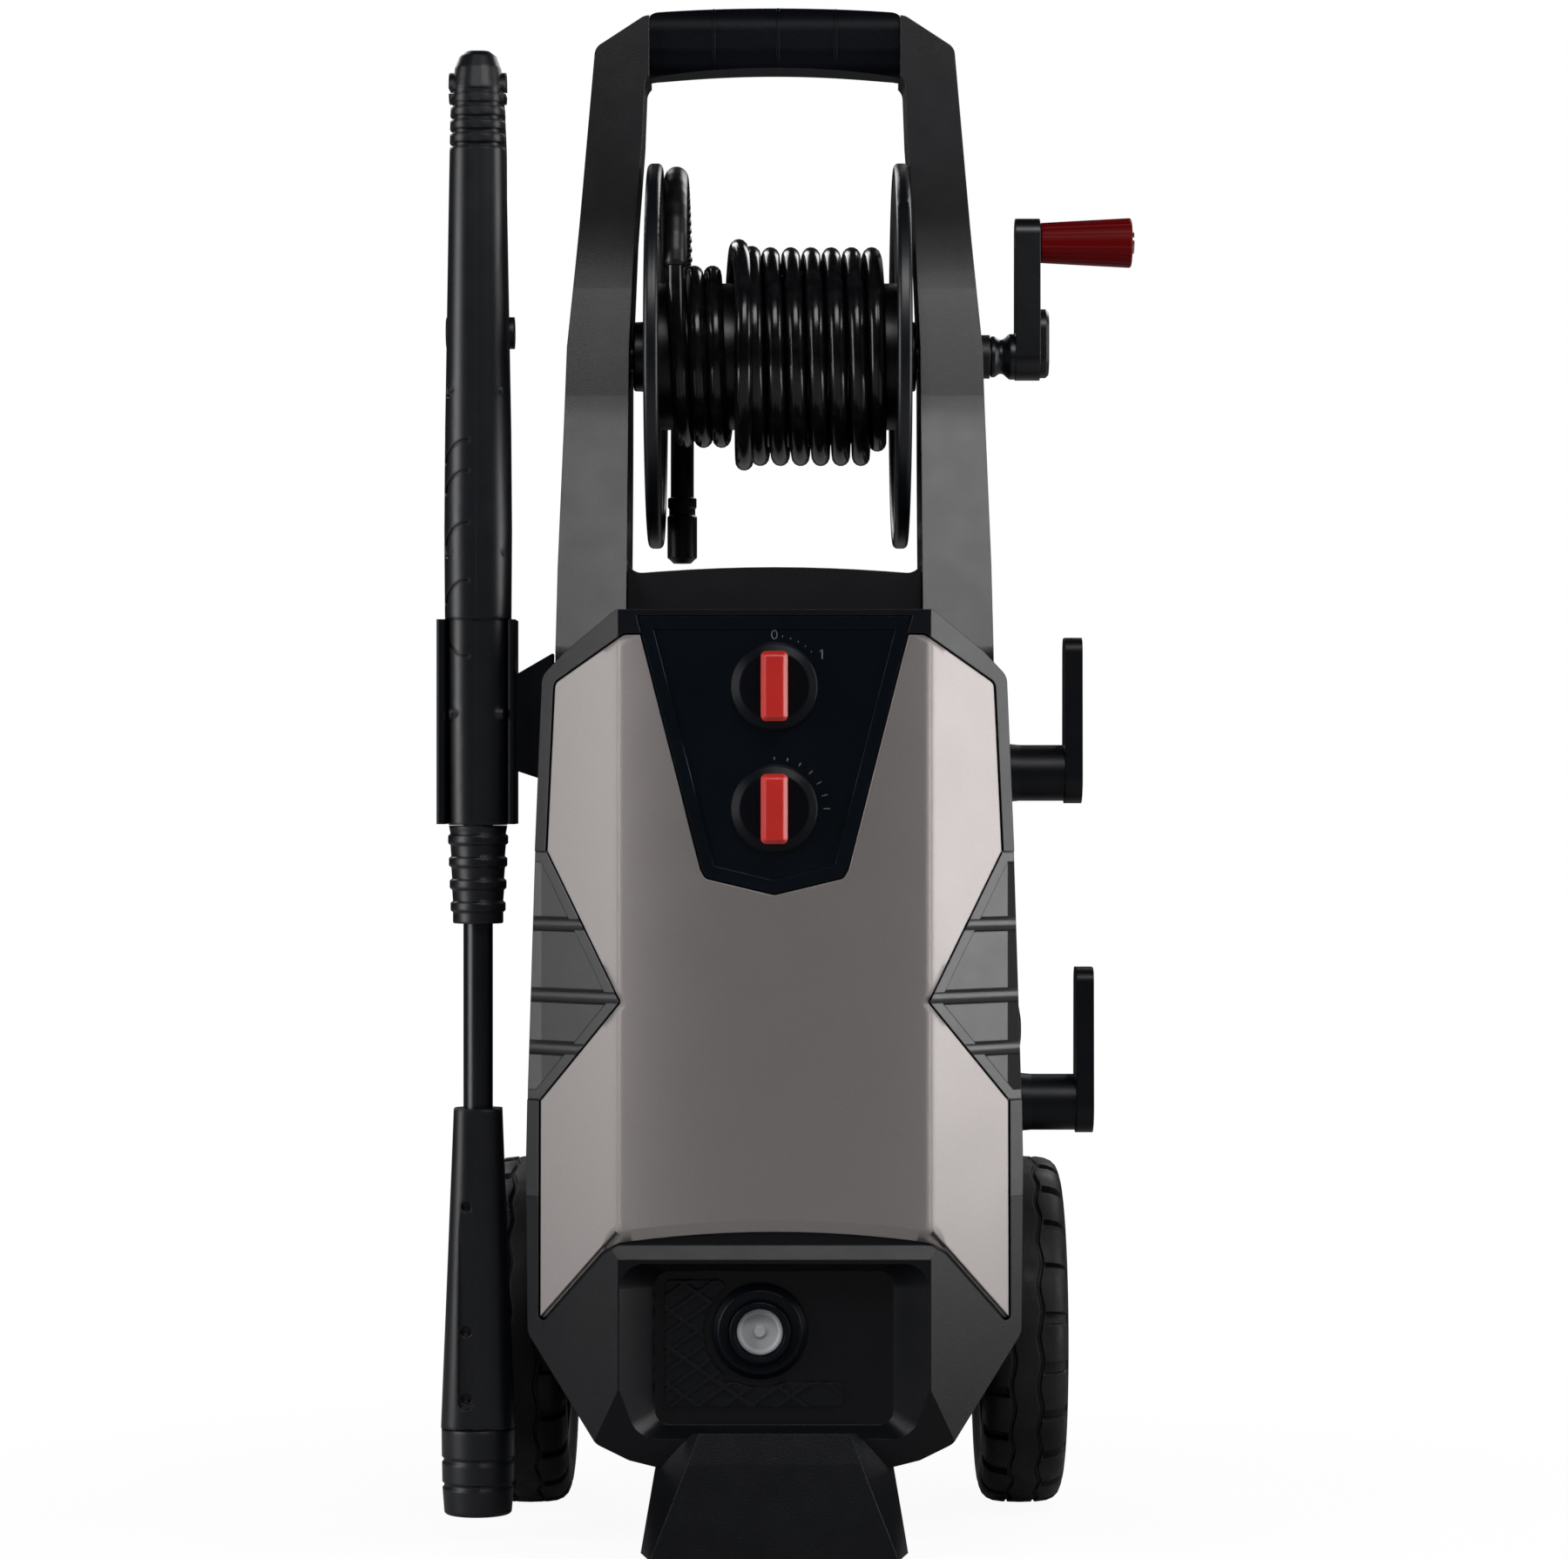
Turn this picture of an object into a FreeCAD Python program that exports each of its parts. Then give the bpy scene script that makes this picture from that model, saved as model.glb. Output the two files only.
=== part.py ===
"""Upright pressure washer with a hose reel, a stored spray gun and two transport wheels.

Millimetres. The front looks along -Y, +X is the viewer's right, +Z is up.
The origin is on the floor, at the centre of the foot's sole.
"""
import FreeCAD
import Part
import math
import os

V = FreeCAD.Vector

# Housing
FRONT_Y = -28.0
SEAM_Y = 60.0
BACK_Y = 195.0
CREASE_X = 91.0
FACET_ANGLE = math.radians(40)
WALL = 3.0
SEAT = 3.6
FRONT_WALL = 7.0
LEDGE = 4.4
TOP_Z = 550.0
BOTTOM_Z = 49.0
ARCH_INSIDE_X = 119.0
NOSE_SEAM_Z = 205.0
ARCH_RADIUS = 640.0
ARCH_TOP_Z = 193.8
ARCH_END_Z = 181.5
LIP_WIDTH = 7.0
LIP_DEPTH = 2.8

# Handle frame
FRAME_BASE_Y = 9.0
CROSSBAR_FRONT_Y = 28.0
CROSSBAR_BACK_Y = 44.0
POST_IN_X = 87.7
GRIP_HALF = 76.0
GRIP_TENON = 5.0

# Wheels
LUGS = 22
AXLE_END = 169.0
WHEEL_RADIUS = 107.5
WHEEL_IN_X = 126.0
WHEEL_OUT_X = 178.0
AXLE_Y = 175.0
AXLE_RADIUS = 8.0

# Hose reel
REEL_Y = 105.0
REEL_Z = 709.0
FLANGE_RADIUS = 117.0
REEL_LEFT_X = -77.0
REEL_RIGHT_X = 81.0
RIM_WIDTH = 9.0
DRUM_RADIUS = 44.6
JOURNAL_RADIUS = 9.0
JOURNAL_LEFT_X = -116.0
JOURNAL_RIGHT_X = 156.0
HUB_REACH = {-1: 9.0, 1: 5.0}
SPOKES = 6
RUNNING_GAP = 0.06

# Hose
HOSE_DIAMETER = 11.0
WINDING_LEFT_X = -67.0
WINDING_RIGHT_X = 70.0
PORT_X = -20.0
SECOND_LAYER_X = (-24.0, 61.0)
SLEEVE_RADIUS = 7.3

# Crank
CRANK_RADIUS = 69.5
CRANK_ARM_X = (146.5, 161.5)
GRIP_LENGTH = 56.0
FLUTES = 14

# Gun and lance
GUN_X = -176.5
GUN_Y = 38.0
LANCE_RADIUS = 8.8

# Dials
DIAL_RADIUS = 26.0
POWER_DIAL_Z = 505.0
FLOW_DIAL_Z = 434.0

# Cable hooks
HOOK_Y = 95.0
UPPER_HOOK_Z = 455.0
LOWER_HOOK_Z = 255.0
HOOK_PIN = 8.0

# Water inlet
INLET_X = -8.5
INLET_Z = 128.0
INLET_RADIUS = 14.8
FILTER_SEAT = 13.7

# Motor and pump
PUMP_Y = 90.0
SHAFT_RADIUS = 6.0

# Cable gland and the pipe that feeds the reel
GLAND_Y = 100.0
GLAND_Z = 299.0
FEED_X = -113.0
BUSH_RADIUS = 15.0

# A contact gap between pieces that only lie beside each other
GAP = 0.3
REACH = 400.0

AXES = {"x": V(1, 0, 0), "y": V(0, 1, 0), "z": V(0, 0, 1)}
PLANES = {"xy": "xyz", "xz": "xzy", "yz": "yzx"}


# Geometry helpers
def place(plane, a, b, level=0.0):
    first, second, normal = (AXES[name] for name in PLANES[plane])
    return first * a + second * b + normal * level


def wire(plane, points, level=0.0):
    """A closed outline through corners (a, b) or (a, b, radius), where radius rounds the corner."""
    stops = []
    for i, corner in enumerate(points):
        here = V(corner[0], corner[1], 0)
        radius = corner[2] if len(corner) > 2 else 0.0
        if not radius:
            stops.append((here, None, here))
            continue
        after = points[(i + 1) % len(points)]
        back = (V(points[i - 1][0], points[i - 1][1], 0) - here).normalize()
        on = (V(after[0], after[1], 0) - here).normalize()
        half = back.getAngle(on) / 2
        inward = (back + on).normalize()
        centre = here + inward * (radius / math.sin(half))
        reach = radius / math.tan(half)
        stops.append((here + back * reach, centre - inward * radius, here + on * reach))
    edges = []
    for i, (start, middle, end) in enumerate(stops):
        if middle:
            arc = [place(plane, p.x, p.y, level) for p in (start, middle, end)]
            edges.append(Part.Arc(*arc).toShape())
        after = stops[(i + 1) % len(stops)][0]
        if (after - end).Length > 1e-6:
            line = [place(plane, p.x, p.y, level) for p in (end, after)]
            edges.append(Part.LineSegment(*line).toShape())
    return Part.Wire(edges)


def prism(plane, points, low, high, grow=0.0):
    """An outline extruded along the plane's normal, grown outwards or shrunk by grow."""
    face = Part.Face(wire(plane, points, low))
    if grow:
        face = face.makeOffset2D(grow)
    return face.extrude(AXES[PLANES[plane][2]] * (high - low))


def box(x, y, z):
    corner = V(x[0], y[0], z[0])
    return Part.makeBox(x[1] - x[0], y[1] - y[0], z[1] - z[0], corner)


def rod(axis, centre, radius, low, high):
    """A cylinder along an axis from low to high; centre gives its other two coordinates."""
    base = V(*centre)
    setattr(base, axis, low)
    return Part.makeCylinder(radius, high - low, base, AXES[axis])


def tube(axis, centre, outer, inner, low, high):
    return rod(axis, centre, outer, low, high).cut(rod(axis, centre, inner, low - 1, high + 1))


def turned(axis, centre, points):
    """A solid of revolution about an axis through centre, from corners (along, radius[, rounding])."""
    if axis == "z":
        section = wire("xz", [(p[1], p[0]) + tuple(p[2:]) for p in points])
    else:
        section = wire(axis + "z", points)
    solid = Part.Face(section).revolve(V(0, 0, 0), AXES[axis], 360)
    return moved(solid, *centre)


def moved(shape, x=0.0, y=0.0, z=0.0):
    copy = shape.copy()
    copy.translate(V(x, y, z))
    return copy


def turned_by(shape, centre, axis, angle):
    copy = shape.copy()
    copy.rotate(V(*centre), AXES[axis], angle)
    return copy


def mirrored(shape, x=0.0):
    return shape.mirror(V(x, 0, 0), V(1, 0, 0))


def both_sides(half):
    """A symmetric outline from the corners of its +X half, listed from top to bottom."""
    other = [(-p[0],) + tuple(p[1:]) for p in reversed(half) if p[0]]
    return list(half) + other


def fused(first, *others):
    return first.fuse(list(others)).removeSplitter()


def common(first, *others):
    for other in others:
        first = first.common(other)
    return first


def rectangle(a, b, radius):
    """The corners of a rounded rectangle between a[0]..a[1] and b[0]..b[1]."""
    return [(a[0], b[0], radius), (a[1], b[0], radius), (a[1], b[1], radius), (a[0], b[1], radius)]


def ring_of(shape, centre, axis, count, first=0.0):
    return [turned_by(shape, centre, axis, first + 360.0 * i / count) for i in range(count)]


def save(name, *solids):
    pieces = [solid for shape in solids for solid in shape.Solids]
    for piece in pieces:
        if not piece.isValid():
            print("not valid:", name)
    shape = pieces[0] if len(pieces) == 1 else Part.makeCompound(pieces)
    shape.exportStep("parts/" + name + ".step")
    print(f"{name}: {len(pieces)} solid, {shape.Volume / 1000:.1f} cm3, {len(shape.Faces)} faces")


# Housing outlines, seen from the front
SHELL_HALF = [
    (92, TOP_Z, 6), (123, 526, 6), (137, 512, 10), (141.5, 410), (146, 271), (147, 225),
    (146, 124, 12), (104, 63, 10), (85, 53, 8), (70, BOTTOM_Z, 6),
]
COVER_HALF = [
    (87, 535, 4), (128.8, 507.5, 5), (133.6, 409), (89, 321.5, 2), (137.7, 261.5),
    (138, 131, 1.5), (100, 176, 6), (CREASE_X, ARCH_END_Z, 8), (0, ARCH_TOP_Z, ARCH_RADIUS),
]
PANEL_HALF = [(79.5, 546), (42, 399, 3), (39.5, 394.5, 3), (0, 385, 4)]
VENT = [(133.6, 409), (89, 321.5, 2), (137.7, 261.5), (160, 261.5), (160, 409)]


def layer_prism(depth, back):
    """Everything behind the front facets, moved inwards by depth, as far as back."""
    slope = math.tan(FACET_ANGLE)
    crease = CREASE_X - depth * math.tan(FACET_ANGLE / 2)
    front = FRONT_Y + depth
    edge = front + (REACH - crease) * slope
    half = [(crease, front), (REACH, edge), (REACH, back + REACH)]
    wide = prism("xy", both_sides(half), 0, 700)
    return wide.common(box((-REACH, REACH), (front - 1, back), (0, 700)))


def skin(low, high):
    """The layer of the front facets between two depths."""
    return layer_prism(low, SEAM_Y - 1).cut(layer_prism(high, SEAM_Y))


def front_profile(depth):
    """The front shell seen from the side, moved inwards by depth."""
    return [
        (FRONT_Y - 10, TOP_Z + 10), (FRONT_Y - 10, 96), (FRONT_Y + depth, 96 + depth / 3),
        (-10 + depth / 2, BOTTOM_Z + depth), (SEAM_Y, BOTTOM_Z + depth), (SEAM_Y, TOP_Z + 10),
    ]


def recess(grow):
    """The tapered pocket in the nose that holds the water inlet."""
    outer = rectangle((-91 - grow, 91 + grow), (58 - grow, 170 + grow), 15 + grow)
    inner = rectangle((-70 - grow, 70 + grow), (73 - grow, 163 + grow), 9 + grow)
    mouth = wire("xz", outer, FRONT_Y - 1)
    floor = wire("xz", inner, FRONT_Y + 22 + grow)
    return Part.makeLoft([mouth, floor], True, True)


def front_shells():
    """The front of the housing in two mouldings: the tall shell, and the nose with its pocket."""
    outline = both_sides(SHELL_HALF)
    outer = common(
        prism("xz", outline, FRONT_Y - 1, SEAM_Y),
        layer_prism(0, SEAM_Y),
        prism("yz", front_profile(0), -200, 200),
    )
    inner = common(
        prism("xz", outline, FRONT_Y, SEAM_Y + 1, -WALL),
        layer_prism(FRONT_WALL, SEAM_Y + 1),
        prism("yz", front_profile(FRONT_WALL), -200, 200),
    )
    shell = outer.cut(inner)
    pocket_wall = recess(WALL).common(layer_prism(FRONT_WALL - 1, SEAM_Y))
    pocket_wall = pocket_wall.common(outer)
    shell = shell.fuse(pocket_wall).cut(recess(0))
    cover_seat = prism("xz", both_sides(COVER_HALF), FRONT_Y - 1, SEAM_Y - 1, 1.2)
    panel_seat = prism("xz", both_sides(PANEL_HALF), FRONT_Y - 1, SEAM_Y - 1, 0.6)
    vent_seat = prism("xz", VENT, FRONT_Y - 1, SEAM_Y - 1, -0.2)
    for seat in (cover_seat, panel_seat, vent_seat, mirrored(vent_seat)):
        shell = shell.cut(seat.common(skin(-2, SEAT)))
    back = FRONT_Y + LEDGE
    ledge = [(FRONT_Y - 10, 172), (FRONT_Y, 172), (back, 180), (back, 200), (FRONT_Y - 10, 200)]
    under_cover = prism("xz", both_sides([(0, 192), (90, 183), (102, 172), (102, 165)]), FRONT_Y - 1, 0)
    shell = shell.cut(prism("yz", ledge, -101, 101).common(under_cover))
    shell = shell.cut(rod("y", (INLET_X, 0, INLET_Z), 19.1, -30, 20))
    for z in (POWER_DIAL_Z, FLOW_DIAL_Z):
        shell = shell.cut(rod("y", (0, 0, z), 6, -30, 20))
    upper = shell.common(box((-REACH, REACH), (-REACH, REACH), (NOSE_SEAM_Z, 2 * REACH)))
    nose = shell.common(box((-REACH, REACH), (-REACH, REACH), (0, NOSE_SEAM_Z)))
    return upper, nose


def front_cover():
    outline = both_sides(COVER_HALF)
    plate = prism("xz", outline, FRONT_Y - 1, SEAM_Y).common(skin(0.4, SEAT))
    notch = prism("xz", both_sides(PANEL_HALF), FRONT_Y - 1, SEAM_Y, 1.4)
    plate = plate.cut(notch)
    for cut in cover_lip():
        plate = plate.cut(cut)
    return plate


def cover_lip():
    """What the bevel along the cover's lower edge takes away: over the arch, and on both facets."""
    top = 1 + LIP_DEPTH
    wide = LIP_WIDTH * top / (LIP_DEPTH - 0.4)
    centre = ARCH_TOP_Z - ARCH_RADIUS / math.cos(math.atan2(ARCH_TOP_Z - ARCH_END_Z, CREASE_X))
    arch = turned("y", (0, 0, centre), [
        (FRONT_Y - 1, ARCH_RADIUS - 3), (FRONT_Y - 1, ARCH_RADIUS + wide), (FRONT_Y + LIP_DEPTH, ARCH_RADIUS),
        (FRONT_Y + LIP_DEPTH, ARCH_RADIUS - 3),
    ])
    arch = arch.common(box((-CREASE_X - 4, CREASE_X + 4), (FRONT_Y - 2, SEAM_Y), (150, 210)))
    slope = math.tan(FACET_ANGLE)
    low, high = (V(x, FRONT_Y + (x - CREASE_X) * slope, z) for x, z in ((142.2, 126), (91, 186.6)))
    outward = V(math.sin(FACET_ANGLE), -math.cos(FACET_ANGLE), 0)
    inward = outward.cross(high - low).normalize()
    corners = [(-3, 1), (wide, 1), (0, -LIP_DEPTH), (-3, -LIP_DEPTH)]
    points = [low + inward * m + outward * n for m, n in corners]
    side = Part.Face(Part.makePolygon(points + points[:1])).extrude(high - low)
    return arch, side, mirrored(side)


def control_panel():
    outline = both_sides(PANEL_HALF)
    plate = prism("xz", outline, FRONT_Y - 1, SEAM_Y).common(skin(0.8, SEAT))
    plate = plate.cut(prism("xz", outline, FRONT_Y - 1, FRONT_Y + 2.2, -7))
    for z in (POWER_DIAL_Z, FLOW_DIAL_Z):
        plate = plate.cut(rod("y", (0, 0, z), 6, FRONT_Y - 1, SEAM_Y))
    return plate


def facet_bar(z, radius, depth):
    """A round bar lying along the right-hand front facet, with its axis depth below the facet."""
    along = V(math.cos(FACET_ANGLE), math.sin(FACET_ANGLE), 0)
    inward = V(-math.sin(FACET_ANGLE), math.cos(FACET_ANGLE), 0)
    base = V(CREASE_X, FRONT_Y, z) + inward * depth
    return Part.makeCylinder(radius, 120, base, along)


def vent_panel():
    shell = prism("xz", both_sides(SHELL_HALF), FRONT_Y - 1, SEAM_Y, -0.3)
    plate = prism("xz", VENT, FRONT_Y - 1, SEAM_Y, -1.0)
    pocket = prism("xz", VENT[:3] + [(170, 261.5), (170, 409)], FRONT_Y - 1, SEAM_Y, -6.5)
    panel = plate.common(skin(2.0, SEAT))
    rim = plate.cut(pocket).common(skin(0.6, 2.5))
    bars = [facet_bar(z, 5.0, 4.4).common(plate) for z in (366, 324, 293)]
    solid = fused(panel, rim, *bars)
    return solid.common(skin(-1.5, SEAT)).common(shell)


def nose_grille():
    """Slanted bars on the floor of the nose pocket, to the left of the inlet and below it."""
    y = (FRONT_Y + 18.8, FRONT_Y + 21.9)
    field = prism("xz", [(-64, 84, 3), (40, 84, 3), (40, 98), (-30, 98), (-30, 158, 3), (-64, 158, 3)], *y)
    backing = field.common(box((-REACH, REACH), (FRONT_Y + 20.6, FRONT_Y + 22), (0, REACH)))
    bars = []
    for i in range(14):
        bar = box((-80, 80), y, (-1.1, 1.1))
        bar = moved(turned_by(bar, (0, 0, 0), "y", -35), -30, 0, 62 + 11 * i)
        bars.append(bar.common(field))
    cross = moved(turned_by(box((-80, 80), y, (-1.1, 1.1)), (0, 0, 0), "y", 35), -10, 0, 0)
    bars += [moved(cross, 0, 0, 60 + 22 * i).common(field) for i in range(6)]
    bars = [bar for bar in bars if bar.Solids]
    solid = fused(backing, *bars)
    return solid.cut(rod("y", (INLET_X, 0, INLET_Z), 33, -60, 60))


def wheel_space(grow):
    """The two cylinders that the wheels need, grown by a wall."""
    radius = WHEEL_RADIUS + 11.5 + grow
    right = rod("x", (0, AXLE_Y, WHEEL_RADIUS), radius, ARCH_INSIDE_X - grow, REACH)
    return right.fuse(mirrored(right))


def rear_block(depth, front):
    """The rear half of the housing, moved inwards by depth, from front to its back wall."""
    profile = [
        (front - 10, TOP_Z), (150, TOP_Z, 12), (BACK_Y, 500, 14), (BACK_Y, 92, 12),
        (178, BOTTOM_Z, 8), (front - 10, BOTTOM_Z),
    ]
    plan = both_sides([(170, front - 10), (170, BACK_Y - 56), (114, BACK_Y, 8)])
    solid = common(
        prism("xz", both_sides(SHELL_HALF), front, BACK_Y + 5, -depth),
        prism("yz", profile, -200, 200, -depth),
        prism("xy", plan, 0, 700, -depth),
    )
    return solid.cut(wheel_space(depth))


def rear_shell():
    shell = rear_block(0, SEAM_Y).cut(rear_block(WALL, SEAM_Y - 1))
    sleeve = rod("x", (0, AXLE_Y, WHEEL_RADIUS), 14, -124, 124)
    ribs = [box((x, x + 3), (158, 192), (96, 120)) for x in (-100, -40, 37, 97)]
    shell = fused(shell, sleeve, *ribs)
    shell = shell.cut(rod("x", (0, AXLE_Y, WHEEL_RADIUS), AXLE_RADIUS + 0.02, -130, 130))
    slots = [
        prism("xz", rectangle((-45, 45), (z, z + 5), 2.4), BACK_Y - 8, BACK_Y + 8)
        for z in range(330, 450, 13)
    ]
    shell = shell.cut(Part.makeCompound(slots))
    for z in (UPPER_HOOK_Z, LOWER_HOOK_Z):
        shell = shell.cut(rod("x", (0, HOOK_Y, z), 5, 120, 160))
    shell = shell.cut(rod("x", (0, GLAND_Y, GLAND_Z), 9, 120, 160))
    return shell.cut(rod("z", (FEED_X, REEL_Y, 0), 6.5, 500, 560))


def foot():
    """The front foot, a flared block whose sloping face stands in front of the nose."""
    bottom = both_sides([(72, -45), (78, -18), (78, 46)])
    waist = both_sides([(50.5, -27.5), (69, -4), (69, 46)])
    top = both_sides([(44, -21.5), (64, -1), (64, 46)])
    solid = Part.makeLoft(
        [wire("xy", bottom, 0), wire("xy", waist, BOTTOM_Z + 4), wire("xy", top, 70)], True, True
    )
    solid = solid.cut(box((-200, 200), (-6, 60), (BOTTOM_Z, 90)))
    keep_clear = common(prism("yz", front_profile(0), -200, 200), layer_prism(0, SEAM_Y))
    return solid.cut(keep_clear)


# Handle frame outlines
FRAME_HALF = [
    (0, 920.5, 840), (GRIP_HALF + 3, 913.5, 8), (108.7, 894, 8), (118, 786), (125, 711), (128.6, 577),
    (129.4, 500), (80, 500), (80, 552),
]
GRIP_TOP_HALF = [(0, 923, 840), (GRIP_HALF + 2, 916.5, 8), (GRIP_HALF + 2, 860)]
OPENING_HALF = [
    (0, 887, 560), (78.5, 878, 8), (80, 840), (84.5, 781), (87.6, 711), (POST_IN_X, 573, 9), (0, 579.5, 900),
]
FRAME_PROFILE = [
    (FRAME_BASE_Y, 500), (FRAME_BASE_Y, 525, 30), (56, 670, 200), (76, 770, 300), (83, 935),
    (135, 935), (140, 850, 300), (148, 745, 300), (146, 640, 300), (128, 560, 60), (128, 500),
]


def frame_block(depth):
    outline = prism("xz", both_sides(FRAME_HALF), 0, 200, -depth)
    opening = prism("xz", both_sides(OPENING_HALF), -1, 201, depth)
    return outline.cut(opening).common(prism("yz", FRAME_PROFILE, -200, 200, -depth))


def housing_envelope():
    front = common(
        prism("xz", both_sides(SHELL_HALF), FRONT_Y, SEAM_Y), layer_prism(0, SEAM_Y)
    )
    return front.fuse(rear_block(0, SEAM_Y))


def grip_core(slack=0.0):
    """The bar inside the grip, whose ends seat in the posts."""
    reach = GRIP_HALF + GRIP_TENON + slack
    return prism("yz", rectangle((97, 121), (888, 908), 5), -reach, reach, slack)


def handle_halves():
    """The front moulding and the back covers of its posts, which clamp the reel's bushes between them."""
    solid = frame_block(0)
    solid = solid.cut(box((-79.5, 79.5), (0, 200), (0, 551)))
    for gap in ((0, CROSSBAR_FRONT_Y), (CROSSBAR_BACK_Y, 200)):
        solid = solid.cut(box((-POST_IN_X, POST_IN_X), gap, (500, 582)))
    solid = solid.cut(box((-GRIP_HALF, GRIP_HALF), (0, 200), (800, 1000)))
    posts = box((-REACH, -87), (0, 200), (500, 884)).fuse(box((87, REACH), (0, 200), (500, 884)))
    hollow = frame_block(WALL).common(posts)
    bosses = [
        rod("x", (0, REEL_Y, REEL_Z), 19, *side).common(solid)
        for side in ((-140, -80), (80, 140))
    ]
    solid = fused(solid.cut(hollow), *bosses)
    solid = solid.cut(grip_core(0.02))
    solid = solid.cut(rod("x", (0, REEL_Y, REEL_Z), BUSH_RADIUS, -140, 140))
    solid = solid.cut(rod("z", (FEED_X, REEL_Y, 0), 6, 500, REEL_Z))
    solid = solid.cut(housing_envelope())
    front = solid.common(box((-REACH, REACH), (0, REEL_Y), (400, 1000)))
    back = solid.common(box((-REACH, REACH), (REEL_Y, 300), (400, 1000)))
    return front, back


def handle_grip():
    ends = (-GRIP_HALF + 0.1, GRIP_HALF - 0.1)
    body = common(
        prism("yz", rectangle((87, 131), (877.5, 922.5), 17), *ends),
        prism("xz", both_sides(GRIP_TOP_HALF), 0, 200),
    )
    body = body.cut(prism("xz", both_sides(OPENING_HALF), 0, 200))
    ribs = []
    for x in (-37, 2, 37):
        ribs.append(prism("yz", rectangle((86, 132), (876.5, 923), 18), x - 0.8, x + 0.8))
    return fused(body, grip_core(), *[rib.common(moved(body, 0, -0.8, 0)) for rib in ribs])


# Running gear
def tyre():
    """The right-hand tyre: a rounded band with staggered shoulder notches."""
    middle = (WHEEL_IN_X + WHEEL_OUT_X) / 2
    half = (WHEEL_OUT_X - WHEEL_IN_X) / 2
    bead = 79.0
    band = turned("x", (middle, AXLE_Y, WHEEL_RADIUS), [
        (-half + 5, bead), (-half, bead + 6, 4), (-half, WHEEL_RADIUS - 9, 8), (-half + 9, WHEEL_RADIUS, 12),
        (half - 9, WHEEL_RADIUS, 12), (half, WHEEL_RADIUS - 9, 8), (half, bead + 6, 4), (half - 5, bead),
    ])
    top = WHEEL_RADIUS * 2
    notch_in = box((WHEEL_IN_X - 1, WHEEL_IN_X + 14), (AXLE_Y - 3.4, AXLE_Y + 3.4), (top - 6, top + 2))
    notch_out = box((WHEEL_OUT_X - 14, WHEEL_OUT_X + 1), (AXLE_Y - 3.4, AXLE_Y + 3.4), (top - 6, top + 2))
    centre = (0, AXLE_Y, WHEEL_RADIUS)
    notches = ring_of(notch_in, centre, "x", LUGS) + ring_of(notch_out, centre, "x", LUGS, 180.0 / LUGS)
    return band.cut(Part.makeCompound(notches))


def rim():
    """The right-hand rim: barrel, dished web with windows, and hub."""
    middle = (WHEEL_IN_X + WHEEL_OUT_X) / 2
    half = (WHEEL_OUT_X - WHEEL_IN_X) / 2
    centre = (middle, AXLE_Y, WHEEL_RADIUS)
    barrel = turned("x", centre, [(-half + 4, 73), (half - 4, 73), (half - 4, 78.9), (-half + 4, 78.9)])
    web = turned("x", centre, [(2, 14), (9, 14), (15, 40, 20), (10, 76), (5, 76), (9, 40, 20), (2, 22)])
    hub = rod("x", centre, 19, WHEEL_IN_X - 1.5, WHEEL_OUT_X - 14)
    window = prism("yz", [(-8, 32, 4), (8, 32, 4), (19, 66, 6), (-19, 66, 6)], WHEEL_IN_X, WHEEL_OUT_X)
    window = moved(window, 0, AXLE_Y, WHEEL_RADIUS)
    windows = ring_of(window, (0, AXLE_Y, WHEEL_RADIUS), "x", 6)
    solid = fused(barrel, web.cut(Part.makeCompound(windows)), hub)
    return solid.cut(rod("x", centre, AXLE_RADIUS + RUNNING_GAP, 100, 200))


def hub_cap():
    centre = (WHEEL_OUT_X - 14, AXLE_Y, WHEEL_RADIUS)
    return turned("x", centre, [
        (0.1, 14), (0.1, 24), (4, 24, 2), (11, 15, 8), (12.5, 0), (10.5, 0), (9, 14, 4),
    ])


def axle():
    centre = (0, AXLE_Y, WHEEL_RADIUS)
    bar = rod("x", centre, AXLE_RADIUS, -AXLE_END, AXLE_END)
    grooves = [tube("x", centre, 12, 6.5, x, x + 1.4) for x in (AXLE_END - 4, -AXLE_END + 2.6)]
    return bar.cut(Part.makeCompound(grooves))


def axle_clips():
    centre = (0, AXLE_Y, WHEEL_RADIUS)
    clip = tube("x", centre, 12, 6.55, AXLE_END - 3.9, AXLE_END - 2.7)
    clip = clip.cut(box((0, 200), (AXLE_Y - 4, AXLE_Y + 4), (WHEEL_RADIUS, WHEEL_RADIUS + 20)))
    return clip, mirrored(clip)


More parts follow.
